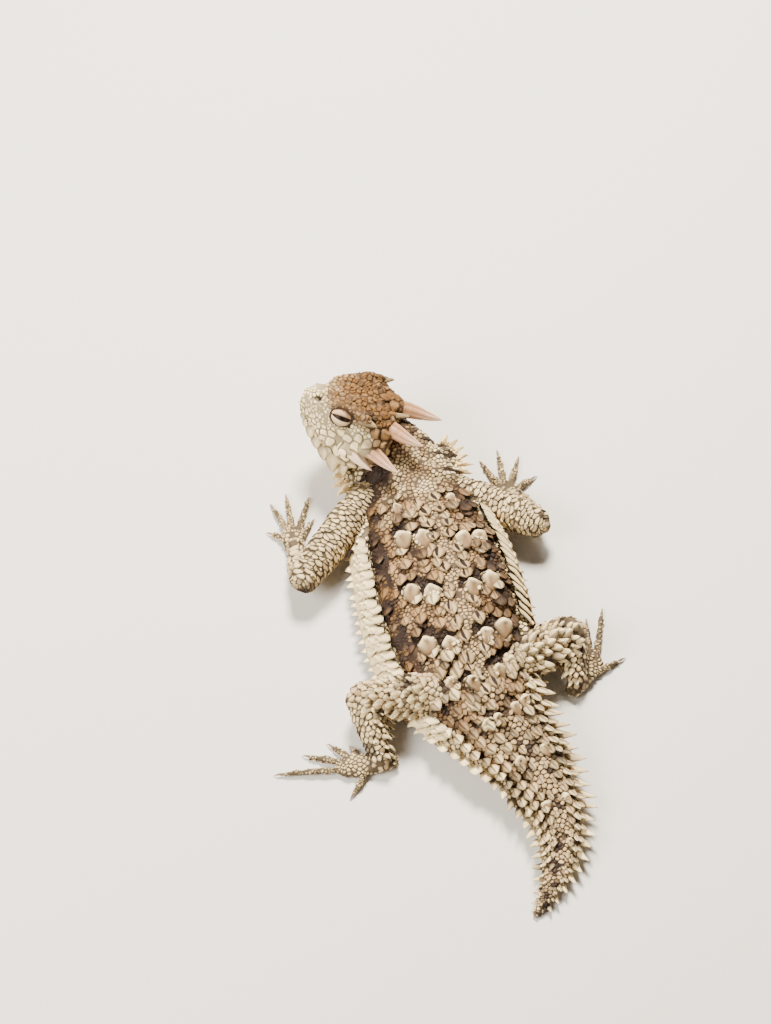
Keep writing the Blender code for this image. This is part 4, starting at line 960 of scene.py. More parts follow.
def grow_tiles(roots, out, aft, radius, kind, near, near_radius, gap):
    """Domes open underneath, each trimmed to the line half way to its neighbours. All of one number of sides.
    """
    sides = int(KIND_TABLE[kind[0], 0])
    edge, middle, top, lean, overlap, lift, keel, wider, rough = KIND_TABLE[kind, 1:].T[..., None]
    squash = np.sqrt(wider)
    across = np.cross(out, aft)
    theta = 2 * pi * np.arange(sides) / sides
    c, s = np.cos(theta)[None], np.sin(theta)[None]
    away = near - roots[:, None]
    flat = np.stack([np.sum(away * aft[:, None], -1) * squash, np.sum(away * across[:, None], -1) / squash],
                    -1)
    far = np.maximum(np.linalg.norm(flat, axis=-1), 1e-3)
    rise = np.sum(away * out[:, None], -1) * (sides > 8)
    half = np.clip((far**2 + rise**2 + radius[:, None] ** 2 - near_radius**2) / (2 * far),
                   0.3 * far, 0.75 * far + np.abs(rise))
    facing = flat[:, :, 0:1] / far[..., None] * c[:, None] + flat[:, :, 1:2] / far[..., None] * s[:, None]
    limit = np.where(facing > 0.12, half[..., None] / np.maximum(facing, 0.12), FAR).min(1)
    most = radius[:, None] * (2.1 if sides > 8 else 1.7)
    reach = np.maximum(np.minimum(limit, most) - gap, radius[:, None] * 0.25)
    reach = reach * (1 + overlap * np.maximum(c, 0))
    ways = aft[:, None] * (c / squash)[..., None] + across[:, None] * (s * squash)[..., None]
    lifted = lift * radius[:, None] * c
    ridge = keel * radius[:, None] * np.abs(c) ** 6
    tall = np.clip(radius[:, None] / 0.5, 0.6, 1.6)

    def ring(share, height, shift=0.0):
        """A ring of points at a share of the reach."""
        place = roots[:, None] + ways * (reach * share)[..., None]
        if sides > 8:
            place = hide().on_skin(place)
        place = place + out[:, None] * (height + 0 * reach)[..., None]
        return place + (aft * lean * radius[:, None] * shift)[:, None]

    shares = [(0.97, -0.22 + 0 * lifted, 0), (1.0, edge * tall + lifted, 0),
              (0.8, (edge * 0.4 + middle * 0.6) * tall + 0.8 * lifted + 0.7 * ridge, 0),
              (0.48, middle * tall + 0.5 * lifted + ridge, 0.4)]
    # Rim value of each ring: the sunk foot and the edge go toward the groove colour, painted shade in the
    # gaps between scales.
    levels = [0.0, 0.12, 0.78, 1.0]
    if sides > 8:
        shares.insert(3, (0.64, (0.3 * edge + 0.7 * middle) * tall + 0.6 * lifted + ridge, 0.2))
        shares.append((0.24, (0.4 * middle + 0.6 * top) * tall + 0.8 * ridge, 0.7))
        levels = [0.0, 0.1, 0.8, 1.0, 1.0, 1.0]
    block = np.stack([ring(*row) for row in shares], 1)
    apex = roots + aft * lean * radius[:, None] + out * top * tall
    n, rings = block.shape[:2]
    spots = np.concatenate([block.reshape(n, -1, 3), apex[:, None]], 1)
    plain = spots.reshape(-1, 3)
    ridged = 2 * np.abs(lumps(plain, 0.85, 14) - 0.5) + 0.6 * np.abs(lumps(plain, 0.45, 15) - 0.5)
    level = np.append(np.repeat(levels, sides), 1.0)
    height = (rough * level[None]).reshape(-1) * (0.45 - ridged) * 1.6
    moved = warped(plain, 0.5, 1.5, 16) + np.repeat(out, spots.shape[1], 0) * height[:, None]
    # Low spots of rough tops are darkened too: painted shade in their crevices.
    rim = level[None] * (1 - np.clip(rough, 0, 0.4) * 1.8 * smooth(ridged.reshape(n, -1), 0.35, 0.8))
    rim = 1 - (1 - rim) * np.clip(radius / 0.5, 0.45, 1)[:, None] * (1 - 0.6 * rough)
    spots = moved.reshape(n, -1, 3)
    return spots[:, :-1].reshape(n, rings, sides, 3), spots[:, -1], rim


def tile_mesh(block, apex):
    """Vertices and faces of many ringed domes, each open underneath where it is sunk in the skin."""
    n, rings, sides, _ = block.shape
    verts = np.concatenate([block.reshape(n, -1, 3), apex[:, None]], 1)
    k, base = np.arange(sides), (rings - 1) * sides
    tris = np.stack([base + k, base + (k + 1) % sides, np.full(sides, rings * sides)], 1)
    start = (np.arange(n) * verts.shape[1])[:, None, None]
    quads = ring_quads(rings, sides) + start
    return verts.reshape(-1, 3), quads.reshape(-1, 4), (tris + start).reshape(-1, 3)


def raw_mesh(name, verts, quads, tris, look):
    """A smooth mesh object straight from arrays of quads and triangles."""
    mesh = bpy.data.meshes.new(name)
    mesh.vertices.add(len(verts))
    mesh.vertices.foreach_set("co", (verts * MM).astype(np.float32).ravel())
    loops = np.concatenate([quads.ravel(), tris.ravel()]).astype(np.int32)
    starts = np.concatenate([np.arange(len(quads)) * 4, len(quads) * 4 + np.arange(len(tris)) * 3])
    mesh.loops.add(len(loops))
    mesh.loops.foreach_set("vertex_index", loops)
    mesh.polygons.add(len(starts))
    mesh.polygons.foreach_set("loop_start", starts.astype(np.int32))
    mesh.update(calc_edges=True)
    mesh.validate()
    mesh.shade_smooth()
    mesh.materials.append(look)
    made = link_new(name, mesh)
    return made, loops


def bake_map(mesh, loops, uv):
    """Gives a coat piece the map that its colours are baked on."""
    layer = mesh.uv_layers.new(name="OFBake")
    layer.data.foreach_set("uv", uv[loops].astype(np.float32).ravel())


def chart_place(hide, index):
    """Where roots lie on an unwrap of the skin: each part has its own rectangle, along it and around it."""
    trunk, head = hide.kind[index] == "trunk", hide.kind[index] == "head"
    q, box = hide.head_q[index], hide.part[index] % 36
    round_head = np.arctan2(q[:, 0], q[:, 2] + 0.5) / (2 * pi) + 0.5
    u = np.select([trunk, head], [0.02 + 0.56 * hide.t[index] / TAIL_TIP,
                                  0.62 + 0.36 * np.clip((q[:, 1] + 2) / 26, 0, 1)],
                  0.02 + 0.106 * (box % 9) + 0.09 * np.clip(hide.u[index], 0, 1))
    v = np.select([trunk, head], [0.02 + 0.56 * hide.angle[index] / 360, 0.02 + 0.36 * round_head],
                  0.62 + 0.09 * (box // 9) + 0.075 * np.mod(hide.a[index], 1))
    return np.column_stack([u, v])


def coat(name, block, apex, index, rim, **marks):
    """Makes one piece of the coat from ringed domes; index is the point of the skin under each.

    A mark is one number, a row of them with one for each dome, or a table with one for each point.
    """
    body = hide()
    n, rings, sides, _ = block.shape
    shape = (n, rings * sides + 1)
    block[..., 2], apex[:, 2] = np.maximum(block[..., 2], 0.04), np.maximum(apex[:, 2], 0.05)
    made, loops = raw_mesh(name, *tile_mesh(block, apex), looks()["scale"])
    values = {"dark": body.dark[index], "pale": body.pale[index], "warm": body.warm[index], **marks}
    for key, value in values.items():
        values[key] = np.broadcast_to(value[:, None] if np.ndim(value) == 1 else value, shape).ravel()
    put_values(made.data, rim=np.broadcast_to(rim, shape).ravel(), **values)
    theta = 2 * pi * np.arange(sides) / sides
    turn = np.tile(np.stack([np.cos(theta), np.sin(theta)], 1), (rings, 1))
    turn = np.vstack([turn * np.repeat(np.linspace(1, 0.2, rings), sides)[:, None], (0.0, 0.0)])
    patch = chart_place(body, index)[:, None] + turn[None] * 0.0015
    bake_map(made.data, loops, patch.reshape(-1, 2))
    dress(made, "sand_skin")
    return made


def gathered(tree, points, count):
    """Numbers of the nearest roots to each point, apart from itself."""
    found = [[j for _, j, far in tree.find_n(p, count + 1) if far > 1e-4][:count] for p in points.tolist()]
    return np.array([row + [row[-1]] * (count - len(row)) for row in found])


# Materials

def plug(tree, node, sockets):
    """Fills a node's inputs, each with another node's output or with a value."""
    for name, value in sockets.items():
        if isinstance(value, bpy.types.NodeSocket):
            tree.links.new(value, node.inputs[name])
        else:
            node.inputs[name].default_value = value


def new_node(tree, kind, sockets=(), **settings):
    """Adds a node with its settings and its inputs."""
    node = tree.nodes.new(kind)
    for name, value in settings.items():
        setattr(node, name, value)
    plug(tree, node, dict(sockets))
    return node


def mix_colour(tree, factor, first, second):
    """A mix of two colours, each a socket or a value."""
    first, second = (c if isinstance(c, bpy.types.NodeSocket) else (*c[:3], 1.0) for c in (first, second))
    sockets = {"Factor": factor, 6: first, 7: second}
    return new_node(tree, "ShaderNodeMix", sockets, data_type="RGBA").outputs[2]


def math_node(tree, operation, first, second, clamp=False):
    """A sum, difference or product of two sockets or numbers."""
    return new_node(tree, "ShaderNodeMath", {0: first, 1: second}, operation=operation,
                    use_clamp=clamp).outputs[0]


def object_place(tree):
    """The place on the object itself, which moves with it."""
    return new_node(tree, "ShaderNodeTexCoord").outputs["Object"]


def noise_node(tree, scale, detail=2.0):
    """Noise over the object, from 0 to 1."""
    sockets = {"Vector": object_place(tree), "Scale": scale, "Detail": detail}
    return new_node(tree, "ShaderNodeTexNoise", sockets).outputs["Fac"]


def group_with(name, inputs, outputs):
    """An empty node group with its named sockets, and its input and output nodes."""
    group = bpy.data.node_groups.new(name, "ShaderNodeTree")
    for title, value in inputs.items():
        kind = "NodeSocketFloat" if isinstance(value, (int, float)) else "NodeSocketColor"
        group.interface.new_socket(name=title, in_out="INPUT", socket_type=kind).default_value = value
    for title, kind in outputs.items():
        group.interface.new_socket(name=title, in_out="OUTPUT", socket_type=kind)
    return group, group.nodes.new("NodeGroupInput").outputs, group.nodes.new("NodeGroupOutput")


def markings_group():
    """Mixes the hide's colours by its markings, with specks and darker grooves: a low rim value turns to the
    groove colour, painted shade.
    """
    group, given, made = group_with(
        "Hide markings",
        {"Sand": (0.4, 0.3, 0.2, 1), "Cream": (0.7, 0.6, 0.5, 1), "Rust": (0.3, 0.15, 0.06, 1),
         "Umber": (0.04, 0.02, 0.01, 1), "Groove": (0.05, 0.03, 0.02, 1), "Pale": 0, "Warm": 0, "Dark": 0,
         "Rim": 1, "Tone": 0, "Speck scale": 900, "Speck": 0.35},
        {"Color": "NodeSocketColor", "Roughness": "NodeSocketFloat"})
    centred = math_node(group, "SUBTRACT", noise_node(group, given["Speck scale"], 4.0), 0.5)
    shift = math_node(group, "MULTIPLY", centred, given["Speck"])
    mix = given["Sand"]
    for mask, colour, strength in (("Pale", "Cream", 1.0), ("Warm", "Rust", 1.0), ("Dark", "Umber", 1.2)):
        nudged = math_node(group, "ADD", given[mask], shift)
        kept = math_node(group, "MULTIPLY", given[mask], 6.0, clamp=True)
        stronger = math_node(group, "MULTIPLY", nudged, strength, clamp=True)
        mix = mix_colour(group, math_node(group, "MULTIPLY", stronger, kept), mix, given[colour])
    tone = math_node(group, "ADD", math_node(group, "ADD", given["Tone"], 1.0), shift)
    bright = new_node(group, "ShaderNodeHueSaturation", {"Color": mix, "Value": tone})
    plug(group, made, {
        "Color": mix_colour(group, given["Rim"], given["Groove"], bright.outputs["Color"]),
        "Roughness": math_node(group, "ADD", math_node(group, "MULTIPLY", centred, 0.5), 0.66)})
    return group


def grain_group():
    """Fine height for a Bump: pores and scratches in skin or horn."""
    group, given, made = group_with("Fine grain", {"Grain scale": 3000}, {"Height": "NodeSocketFloat"})
    wide = math_node(group, "MULTIPLY", given["Grain scale"], 0.6)
    cells = new_node(group, "ShaderNodeTexVoronoi", {"Vector": object_place(group), "Scale": wide})
    noise = noise_node(group, given["Grain scale"], 5.0)
    plug(group, made, {"Height": math_node(group, "MULTIPLY", noise, cells.outputs["Distance"])})
    return group


def shader_of(name):
    """A new material with its tree and its Principled shader."""
    made = bpy.data.materials.new(name)
    made.use_nodes = True
    return made, made.node_tree, made.node_tree.nodes["Principled BSDF"]


def attribute(tree, name):
    """The value of a named attribute."""
    return new_node(tree, "ShaderNodeAttribute", attribute_name=name).outputs["Fac"]


def grain_bump(tree, groups, scale, strength, distance):
    """The fine grain as a direction of the surface."""
    grain = new_node(tree, "ShaderNodeGroup", {"Grain scale": scale}, node_tree=groups["grain"])
    sockets = {"Strength": strength, "Distance": distance, "Height": grain.outputs["Height"]}
    return new_node(tree, "ShaderNodeBump", sockets).outputs["Normal"]


def hide_material(name, colours, groups, bump, speck, specular, scale=900.0):
    """A scaly hide: colours by its markings, with grain in its bump."""
    made, tree, shader = shader_of(name)
    sockets = {title: (*value, 1.0) for title, value in colours.items()}
    for layer in ("pale", "warm", "dark", "rim", "tone"):
        sockets[layer.title()] = attribute(tree, layer)
    sockets.update({"Speck": speck, "Speck scale": scale})
    mixed = new_node(tree, "ShaderNodeGroup", node_tree=groups["markings"])
    plug(tree, mixed, sockets)
    plug(tree, shader, {"Base Color": mixed.outputs["Color"], "Roughness": mixed.outputs["Roughness"],
                        "Normal": grain_bump(tree, groups, 3000.0, bump, 0.00012),
                        "Specular IOR Level": specular})
    return made


def horn_material(name, root, middle, tip, groups, roughness=0.42):
    """Horn: darker at the root and pale to the tip, with fine streaks along it."""
    made, tree, shader = shader_of(name)
    ramp = new_node(tree, "ShaderNodeValToRGB", {"Fac": attribute(tree, "reach")})
    stops = ramp.color_ramp.elements
    stops[0].color, stops[1].color = (*root, 1), (*tip, 1)
    stops.new(0.45).color = (*middle, 1)
    streaked = mix_colour(tree, attribute(tree, "strip"), ramp.outputs["Color"], root)
    mottle = math_node(tree, "MULTIPLY", noise_node(tree, 1400.0, 3.0), 0.5)
    shade = new_node(tree, "ShaderNodeHueSaturation",
                     {"Color": streaked, "Value": math_node(tree, "ADD", mottle, 0.76)})
    plug(tree, shader, {"Base Color": shade.outputs["Color"], "Roughness": roughness,
                        "Normal": grain_bump(tree, groups, 1800.0, 0.35, 0.0001)})
    return made


def eye_material(name, dark, ring):
    """A wet dark eye with a brown iris."""
    made, tree, shader = shader_of(name)
    fleck = math_node(tree, "MULTIPLY", attribute(tree, "iris"), noise_node(tree, 2500.0))
    plug(tree, shader, {"Base Color": mix_colour(tree, fleck, dark, ring), "Roughness": 0.5,
                        "Specular IOR Level": 0.15})
    return made


# Settings

def colour_setting(title, text, value):
    """A colour that a user can change."""
    return bpy.props.FloatVectorProperty(name=title, description=text, subtype="COLOR", size=3, default=value,
                                         min=0.0, max=1.0)


def size_setting(title, text, value):
    """A length in millimetres that a user can change."""
    return bpy.props.FloatProperty(name=title, description=text, default=value, min=0.0, soft_max=10.0)


class LizardHideSettings(bpy.types.PropertyGroup):
    """Sizes and colours of the skin and its scales."""
    voxel: size_setting("Skin detail", "Width of the skin's own faces, in millimetres", 0.34)
    sink: size_setting("Coat depth", "How far the skin lies inside the solids, in millimetres", 0.3)
    groove: size_setting("Groove", "Half the gap between two scales, in millimetres", 0.065)
    sand: colour_setting("Sand", "The hide's plain tan", (0.40, 0.245, 0.118))
    cream: colour_setting("Cream", "Pale lobes, fringe, face and belly", (0.93, 0.74, 0.42))
    rust: colour_setting("Rust", "Brown of the crown and the flanks", (0.17, 0.078, 0.019))
    umber: colour_setting("Umber", "The dark cross bands and blotches", (0.022, 0.010, 0.005))
    # Painted shade: the groove colour, drawn in the gaps between scales, on tucked edges, undersides and
    # beside keels.
    groove_shade: colour_setting("Groove colour", "Skin between the scales", (0.020, 0.010, 0.005))


class LizardHornSettings(bpy.types.PropertyGroup):
    """Colours of horns, claws, lids and eyes."""
    horn_root: colour_setting("Horn root", "Colour at the root of a horn", (0.30, 0.135, 0.05))
    horn_middle: colour_setting("Horn middle", "Pinkish colour half way", (0.55, 0.30, 0.17))
    horn_tip: colour_setting("Horn tip", "Pale colour at the tip", (0.82, 0.60, 0.43))
    claw: colour_setting("Claw", "Colour of the claws", (0.22, 0.14, 0.09))
    lid: colour_setting("Lid", "Colour of the eyelids", (0.74, 0.46, 0.25))
    eye: colour_setting("Eye", "Dark of the eye", (0.012, 0.008, 0.006))
    iris: colour_setting("Iris", "Brown of the iris", (0.10, 0.045, 0.02))


class LizardStageSettings(bpy.types.PropertyGroup):
    """Floor and light."""
    floor: colour_setting("Floor", "Colour of the studio floor", (0.78, 0.75, 0.70))
    sky: bpy.props.FloatProperty(name="Fill light", description="Strength of the light from all round",
                                 default=0.13, min=0.0)
    key: bpy.props.FloatProperty(name="Key light", description="Power of the main light", subtype="POWER",
                                 default=14.2, min=0.0)


# Finishes and the hide are made once and shared by the operators.
SHARED = {}


def looks():
    """The materials, made once from the scene's settings."""
    if "looks" not in SHARED:
        hide, horn = bpy.context.scene.lizard_hide, bpy.context.scene.lizard_horn
        groups = {"markings": markings_group(), "grain": grain_group()}
        colours = {"Sand": hide.sand, "Cream": hide.cream, "Rust": hide.rust, "Umber": hide.umber,
                   "Groove": hide.groove_shade}
        SHARED["looks"] = {
            "skin": hide_material("lizard_skin", colours, groups, 0.6, 0.40, 0.2),
            "scale": hide_material("lizard_scales", colours, groups, 0.45, 0.40, 0.25),
            "lid": hide_material("lizard_lids", dict(colours, Sand=horn.lid), groups, 0.4, 0.2, 0.5, 1500.0),
            "horn": horn_material("lizard_horn", horn.horn_root, horn.horn_middle, horn.horn_tip, groups),
            "claw": horn_material("lizard_claw", horn.claw, horn.claw, horn.horn_root, groups, 0.35),
            "eye": eye_material("lizard_eye", horn.eye, horn.iris),
        }
    return SHARED["looks"]


def hide():
    """The skin's points and places, made once."""
    if "hide" not in SHARED:
        settings = bpy.context.scene.lizard_hide
        SHARED["hide"] = Hide(settings.voxel, settings.sink)
    return SHARED["hide"]


# Operators

class LIZARD_OT_skin(bpy.types.Operator):
    """Builds the one skin that stands for all nodes of flesh"""
    bl_idname = "lizard.skin"
    bl_label = "Skin"

    def execute(self, context):
        flesh = [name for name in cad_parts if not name.startswith(("horn_", "eye_"))]
        body = hide()
        made, _ = raw_mesh("skin", body.points, body.quads, np.empty((0, 3), int), looks()["skin"])
        put_values(made.data, dark=body.dark, pale=body.pale, warm=body.warm,
                   rim=np.where(body.kind == "head", HEAD_SKIN_RIM, SKIN_RIM),
                   tone=0.2 * (lumps(body.points, 0.8, 60) - 0.5))
        dress(made, "sand_skin", *flesh)
        return {"FINISHED"}


def bare_points(body):
    """Points where no scale grows: under horns, lids and eyes, on the floor flats and in the mouth."""
    r = on_right(body.head_q)
    hidden = np.zeros(len(body.points), bool)
    for _, root, tip, wide, _, past in HORNS:
        heading = unit(np.array(tip) - root)
        reach = (body.head_q - root) @ heading
        away = np.linalg.norm(body.head_q - root - reach[:, None] * heading, axis=1)
        hidden |= (reach > past - 0.1) & (away < 0.6 * wide) & (body.t < 3)
    mouth, _ = near_line(r, LIP_LINE)
    ring, ahead = eye_ring(r, 1)
    holes = (mouth < 0.32) | (oval(r, NOSTRIL, NOSTRIL_SIZE) < 1.1) | ((ring < 1.02) & (ahead > 0))
    hidden |= (body.kind == "head") & holes
    return hidden | (body.points[:, 2] < 0.08)


def grow_scales(body, chosen, width, kind, draw, hidden):
    """Makes the scales' meshes, in pieces by place."""
    roots, radius = body.points[chosen], width[chosen] / 2
    around = gathered(point_tree(roots), roots, 12)
    tone = draw.uniform(-0.2, 0.2, len(roots))
    families, t = body.kind[chosen], body.t[chosen]
    on_trunk, above = np.isin(families, ("trunk", "fold")), body.rise[chosen] > -5
    region = np.select([families == "head", ~on_trunk, t > TORSO_END, ~above, t < 5.6],
                       ["head", "limbs", "tail", "belly", "shoulders"], "back")
    # Head scales are made brighter than the rest: painted light on the face.
    tone[families == "head"] = 0.5 * tone[families == "head"] + 0.09
    gap = bpy.context.scene.lizard_hide.groove
    sides = KIND_TABLE[kind[chosen], 0]
    for place in ("shoulders", "back", "belly", "tail", "head", "limbs"):
        for count in (8, 18):
            mine = np.flatnonzero((region == place) & (sides == count) & ~hidden[chosen])
            if len(mine):
                index = chosen[mine]
                block, apex, rim = grow_tiles(roots[mine], body.out[index], body.aft[index], radius[mine],
                                              kind[index], roots[around[mine]], radius[around[mine]], gap)
                coat(f"scales_{place}_{count}", block, apex, index, rim, tone=tone[mine])


class LIZARD_OT_scales(bpy.types.Operator):
    """Covers the skin in granules, keeled scales, plates and knobs"""
    bl_idname = "lizard.scales"
    bl_label = "Scales"

    def execute(self, context):
        body = hide()
        width, kind = scale_plan(body)
        seeds = [(mirrored(place, side), wide, name) for side in (-1, 1)
                 for name, scales in FACE_SCALES for *place, wide in scales]
        picked = body.nearest(from_head([place for place, _, _ in seeds]))
        kind[picked] = [KIND_NAMES.index(name) for _, _, name in seeds]
        width[picked] = [wide for _, wide, _ in seeds]
        draw = np.random.default_rng(7)
        jitter = draw.uniform(0, 1, len(width))
        lines = np.where(body.t >= 0, body.t, body.u + body.part * 20.0)
        lines = np.where(body.kind == "head", jitter, lines)
        rows = np.where((body.t >= 0) & (body.rise > BELLY_EDGE) & (body.t < 9.2), jitter, lines)
        order = np.lexsort((rows, -np.round(width, 1)))
        order = np.concatenate([picked, order[~np.isin(order, picked)]])
        wider = np.sqrt(KIND_TABLE[kind, 8])
        lengthwise = np.sum(body.points * body.aft, 1) * (wider - 1)
        spread = body.points + np.where(body.t[:, None] >= 0, (0, -1.0, 0), body.aft) * lengthwise[:, None]
        chosen = pick_roots(spread, width, order)
        grow_scales(body, chosen, width, kind, draw, bare_points(body))
        return {"FINISHED"}


# Leaf-shaped scale: shares of its length and, at each, of its width, from the tucked front to the tip.
LEAF_SHARES = np.array((0.0, 0.18, 0.40, 0.62, 0.82))
LEAF_SHAPES = {"leaf": (0.45, 0.85, 1.0, 0.86, 0.5), "thorn": (1.0, 0.98, 0.76, 0.5, 0.26),
               "tongue": (0.9, 1.0, 0.94, 0.72, 0.40)}
# Round a leaf from one edge over the keel to the other edge and back below: share of the half width, share of
# the keel's height, and how bright it is. The brightness is painted light and shade: one side lit, the other
# side and the underside in painted shade, and on the keel and spine rounds a dark bar beside the keel, its
# painted shadow.
LEAF_ROUND = np.array(((-1.0, 0.0, 0.8), (-0.55, 0.42, 1.0), (-0.12, 0.95, 1.0), (0.12, 0.95, 0.75),
                       (0.5, 0.34, 0.55), (1.0, 0.0, 0.45), (0.4, -0.6, 0.05), (-0.4, -0.6, 0.05)))
KEEL_SHADOW_ROUND = np.array(((-1.0, 0.0, 0.7), (-0.5, 0.5, 1.0), (-0.10, 1.0, 1.0), (0.02, 0.97, 0.3),
                         (0.26, 0.50, 0.3), (0.36, 0.38, 0.95), (1.0, 0.0, 0.6), (0.0, -0.6, 0.0)))
SPINE_KEEL_SHADOW_ROUND = np.array(((-1.0, 0.0, 0.7), (-0.5, 0.5, 1.0), (-0.12, 1.0, 1.0), (-0.05, 1.0, 0.0),
                        (0.32, 0.45, 0.0), (0.42, 0.32, 0.95), (1.0, 0.0, 0.6), (0.0, -0.6, 0.0)))
THORN_ROUND = np.column_stack([LEAF_ROUND[:, :2], (0.95, 1, 1, 1, 0.95, 0.85, 0.4, 0.4)])


class Leaves:
    """Pointed keeled scales and thorns, collected and then made as one piece."""

    def __init__(self, body):
        self.body, self.rows, self.shapes = body, [], []

    def add(self, root, aim, out, length, width, keel, lift=0.3, shape="leaf", clear=False):
        """Adds a scale with its front at the skin's point nearest to root, unless a limb is in its way."""
        if clear and in_limb(np.asarray(root) + unit(aim) * length * 0.6):
            return
        spot, _, face, far = self.body.tree.find_nearest(Vector(root))
        if far < 1.8:
            self.rows.append((*spot, *unit(aim), *out, length, width, keel, lift, self.body.quads[face][0]))
            self.shapes.append(LEAF_SHAPES[shape])

    def build(self, name, brighten=0.5, around=LEAF_ROUND, **marks):
        """Makes the piece; tips are paler than fronts."""
        rows = np.array(self.rows)
        roots, aims = rows[:, 0:3], rows[:, 3:6]
        length, width, keel, lift = (rows[:, k, None] for k in (9, 10, 11, 12))
        wide = unit(np.cross(aims, rows[:, 6:9]))
        out = np.cross(wide, aims)
        sizes, share = np.array(self.shapes), LEAF_SHARES[None]
        height = (-0.3 + (0.3 + lift * length) * share**1.3)[..., None]
        middle = roots[:, None] + aims[:, None] * ((share - 0.12) * length)[..., None] + out[:, None] * height
        side, rise, bright = around.T
        half = ((sizes * width / 2)[:, :, None] * side)[..., None]
        tall = ((np.sqrt(sizes) * keel)[:, :, None] * rise)[..., None]
        block = middle[:, :, None] + wide[:, None, None] * half + out[:, None, None] * tall
        tip = roots + aims * length * 0.88 + out * lift * length
        n, rings, sides, _ = block.shape
        index = rows[:, 13].astype(int)
        reach = np.append(np.repeat(LEAF_SHARES, sides), 1.0)
        pale = np.clip(self.body.pale[index][:, None] * 0.8 + reach * brighten, 0, 1)
        dark = self.body.dark[index][:, None] * (1 - np.clip(brighten + 0.3, 0, 1) * reach)
        warm = self.body.warm[index][:, None] * (1 - 0.8 * pale)
        # Rim value: the round's brightness and a darker tucked front, painted shade toward the groove colour.
        rim = np.append(np.tile(bright, rings) * np.repeat((0.5, 0.85, 1, 1, 1), sides), 1.0)
        tone = np.random.default_rng(5).uniform(-0.15, 0.15, n)
        marks = {"pale": pale, "dark": dark, "warm": warm, "tone": tone, **marks}
        coat(name, warped(block, 0.35, 1.1, 20), tip, index, rim, **marks)


def in_limb(point):
    """Whether a limb's upper length takes up this point."""
    for name, (start, end, _) in LIMBS.items():
        radii = LIMB_RADII[name.split("_")[1]][0]
        start, step = np.array(start), np.array(end) - start
        u = np.clip((point - start) @ step / (step @ step), 0, 1)
        if np.linalg.norm(point - start - step * u) < np.interp(u, *zip(*radii)) + 0.1:
            return True
    return False


def even_stations(angle, first, last, spacing):
    """Stations spaced evenly along the surface at one height on the side."""
    spots = np.linspace(first, last, 400)
    line = trunk_point(spots, np.full(400, float(angle)))
    gone = np.concatenate([[0], np.cumsum(np.linalg.norm(np.diff(line, axis=0), axis=1))])
    return np.interp(np.arange(0, gone[-1] + 0.01, spacing), gone, spots)


def on_side(t, angle):
    """A place on the trunk with its rearward and outward directions."""
    root, further, beside = trunk_point(t + np.array((0, 0.05, 0)), angle + np.array((0, 0, 3.0)))
    ahead = unit(further - root)
    return root, ahead, unit(np.cross(beside - root, ahead))


def set_back(body):
    """Rows of large keeled scales on both sides of the spine, and those in front of each lobe."""
    leaves, inner, draw = Leaves(body), Leaves(body), np.random.default_rng(30)
    spots = []
    for station, angle, size in LOBES:
        outward = 1 if angle > 90 else -1
        spots += [(station + dt, angle + outward * da, size * share) for dt, da, share in BAND_LEAVES]
    for off, pitch, size in BACK_ROWS:
        for outward in (-1, 1):
            for t in np.arange(3.1, 9.2, pitch):
                at = t + draw.uniform(-0.08, 0.08)
                spots.append((at, 90 + outward * (off + draw.uniform(-2, 2)), size))
    for t, angle, size in spots:
        root, ahead, out = on_side(t, angle)
        here = body.nearest([root + ahead * 1.2])[0]
        if 44 < angle < 151 and body.hollow[here] < 0.25 and body.swell[here] < 0.5:
            long = 3.5 * size * draw.uniform(0.85, 1.12)
            swing = np.cross(out, ahead) * draw.uniform(-0.2, 0.2)
            row = inner if abs(angle - 90) < 9 else leaves
            row.add(root, ahead + swing, out, long, long, 0.2 * long, 0.24)
    leaves.build("keeled_back", 0.15, around=KEEL_SHADOW_ROUND)
    inner.build("keeled_spine", 0.15, around=SPINE_KEEL_SHADOW_ROUND)


def set_lobes(body):
    """The smooth pale swellings, blunt to the head and fading to the tail."""
    turn = turns(20)
    rear = np.cos(turn)[None]
    shares = np.array((1.08, 1.0, 0.86, 0.66, 0.42, 0.2))[:, None]
    heights = np.array((-0.6, 0.1, 0.62, 1.0, 1.22, 1.3))[:, None]
    narrow = 1 - 0.4 * np.maximum(-rear, 0) ** 1.5 - 0.3 * np.maximum(rear, 0)
    x = rear * (shares * np.where(rear > 0, 3.4, 1.9)) - 0.75 * (1 - shares)
    y = np.sin(turn)[None] * shares * 2.0 * narrow
    z = heights * (0.8 - 0.34 * rear) - 0.25
    blocks = []
    for station, angle, size in LOBES:
        root, ahead, out = on_side(station, angle)
        spot = np.array(body.tree.find_nearest(Vector(root))[0])
        across = np.cross(out, ahead)
        blocks.append(spot + size * (x[..., None] * ahead + y[..., None] * across + z[..., None] * out))
    block = warped(np.array(blocks), 0.9, 1.6, 26)
    fade = np.append(0.5 + 0.5 * rear + 0 * shares, 0.4)[None] ** 1.5
    # Painted shade at each lobe's foot and on its rear side.
    rim = np.array((0.1, 0.6, 0.95, 1.0, 1.0, 1.0))[:, None] * (1 - 0.3 * (rear > 0.3))
    coat("back_lobes", block, block[:, -1].mean(1), body.nearest(block[:, 3].mean(1)), np.append(rim, 1.0),
         dark=0, pale=1 - 0.95 * fade, warm=0.5 * fade, tone=0)


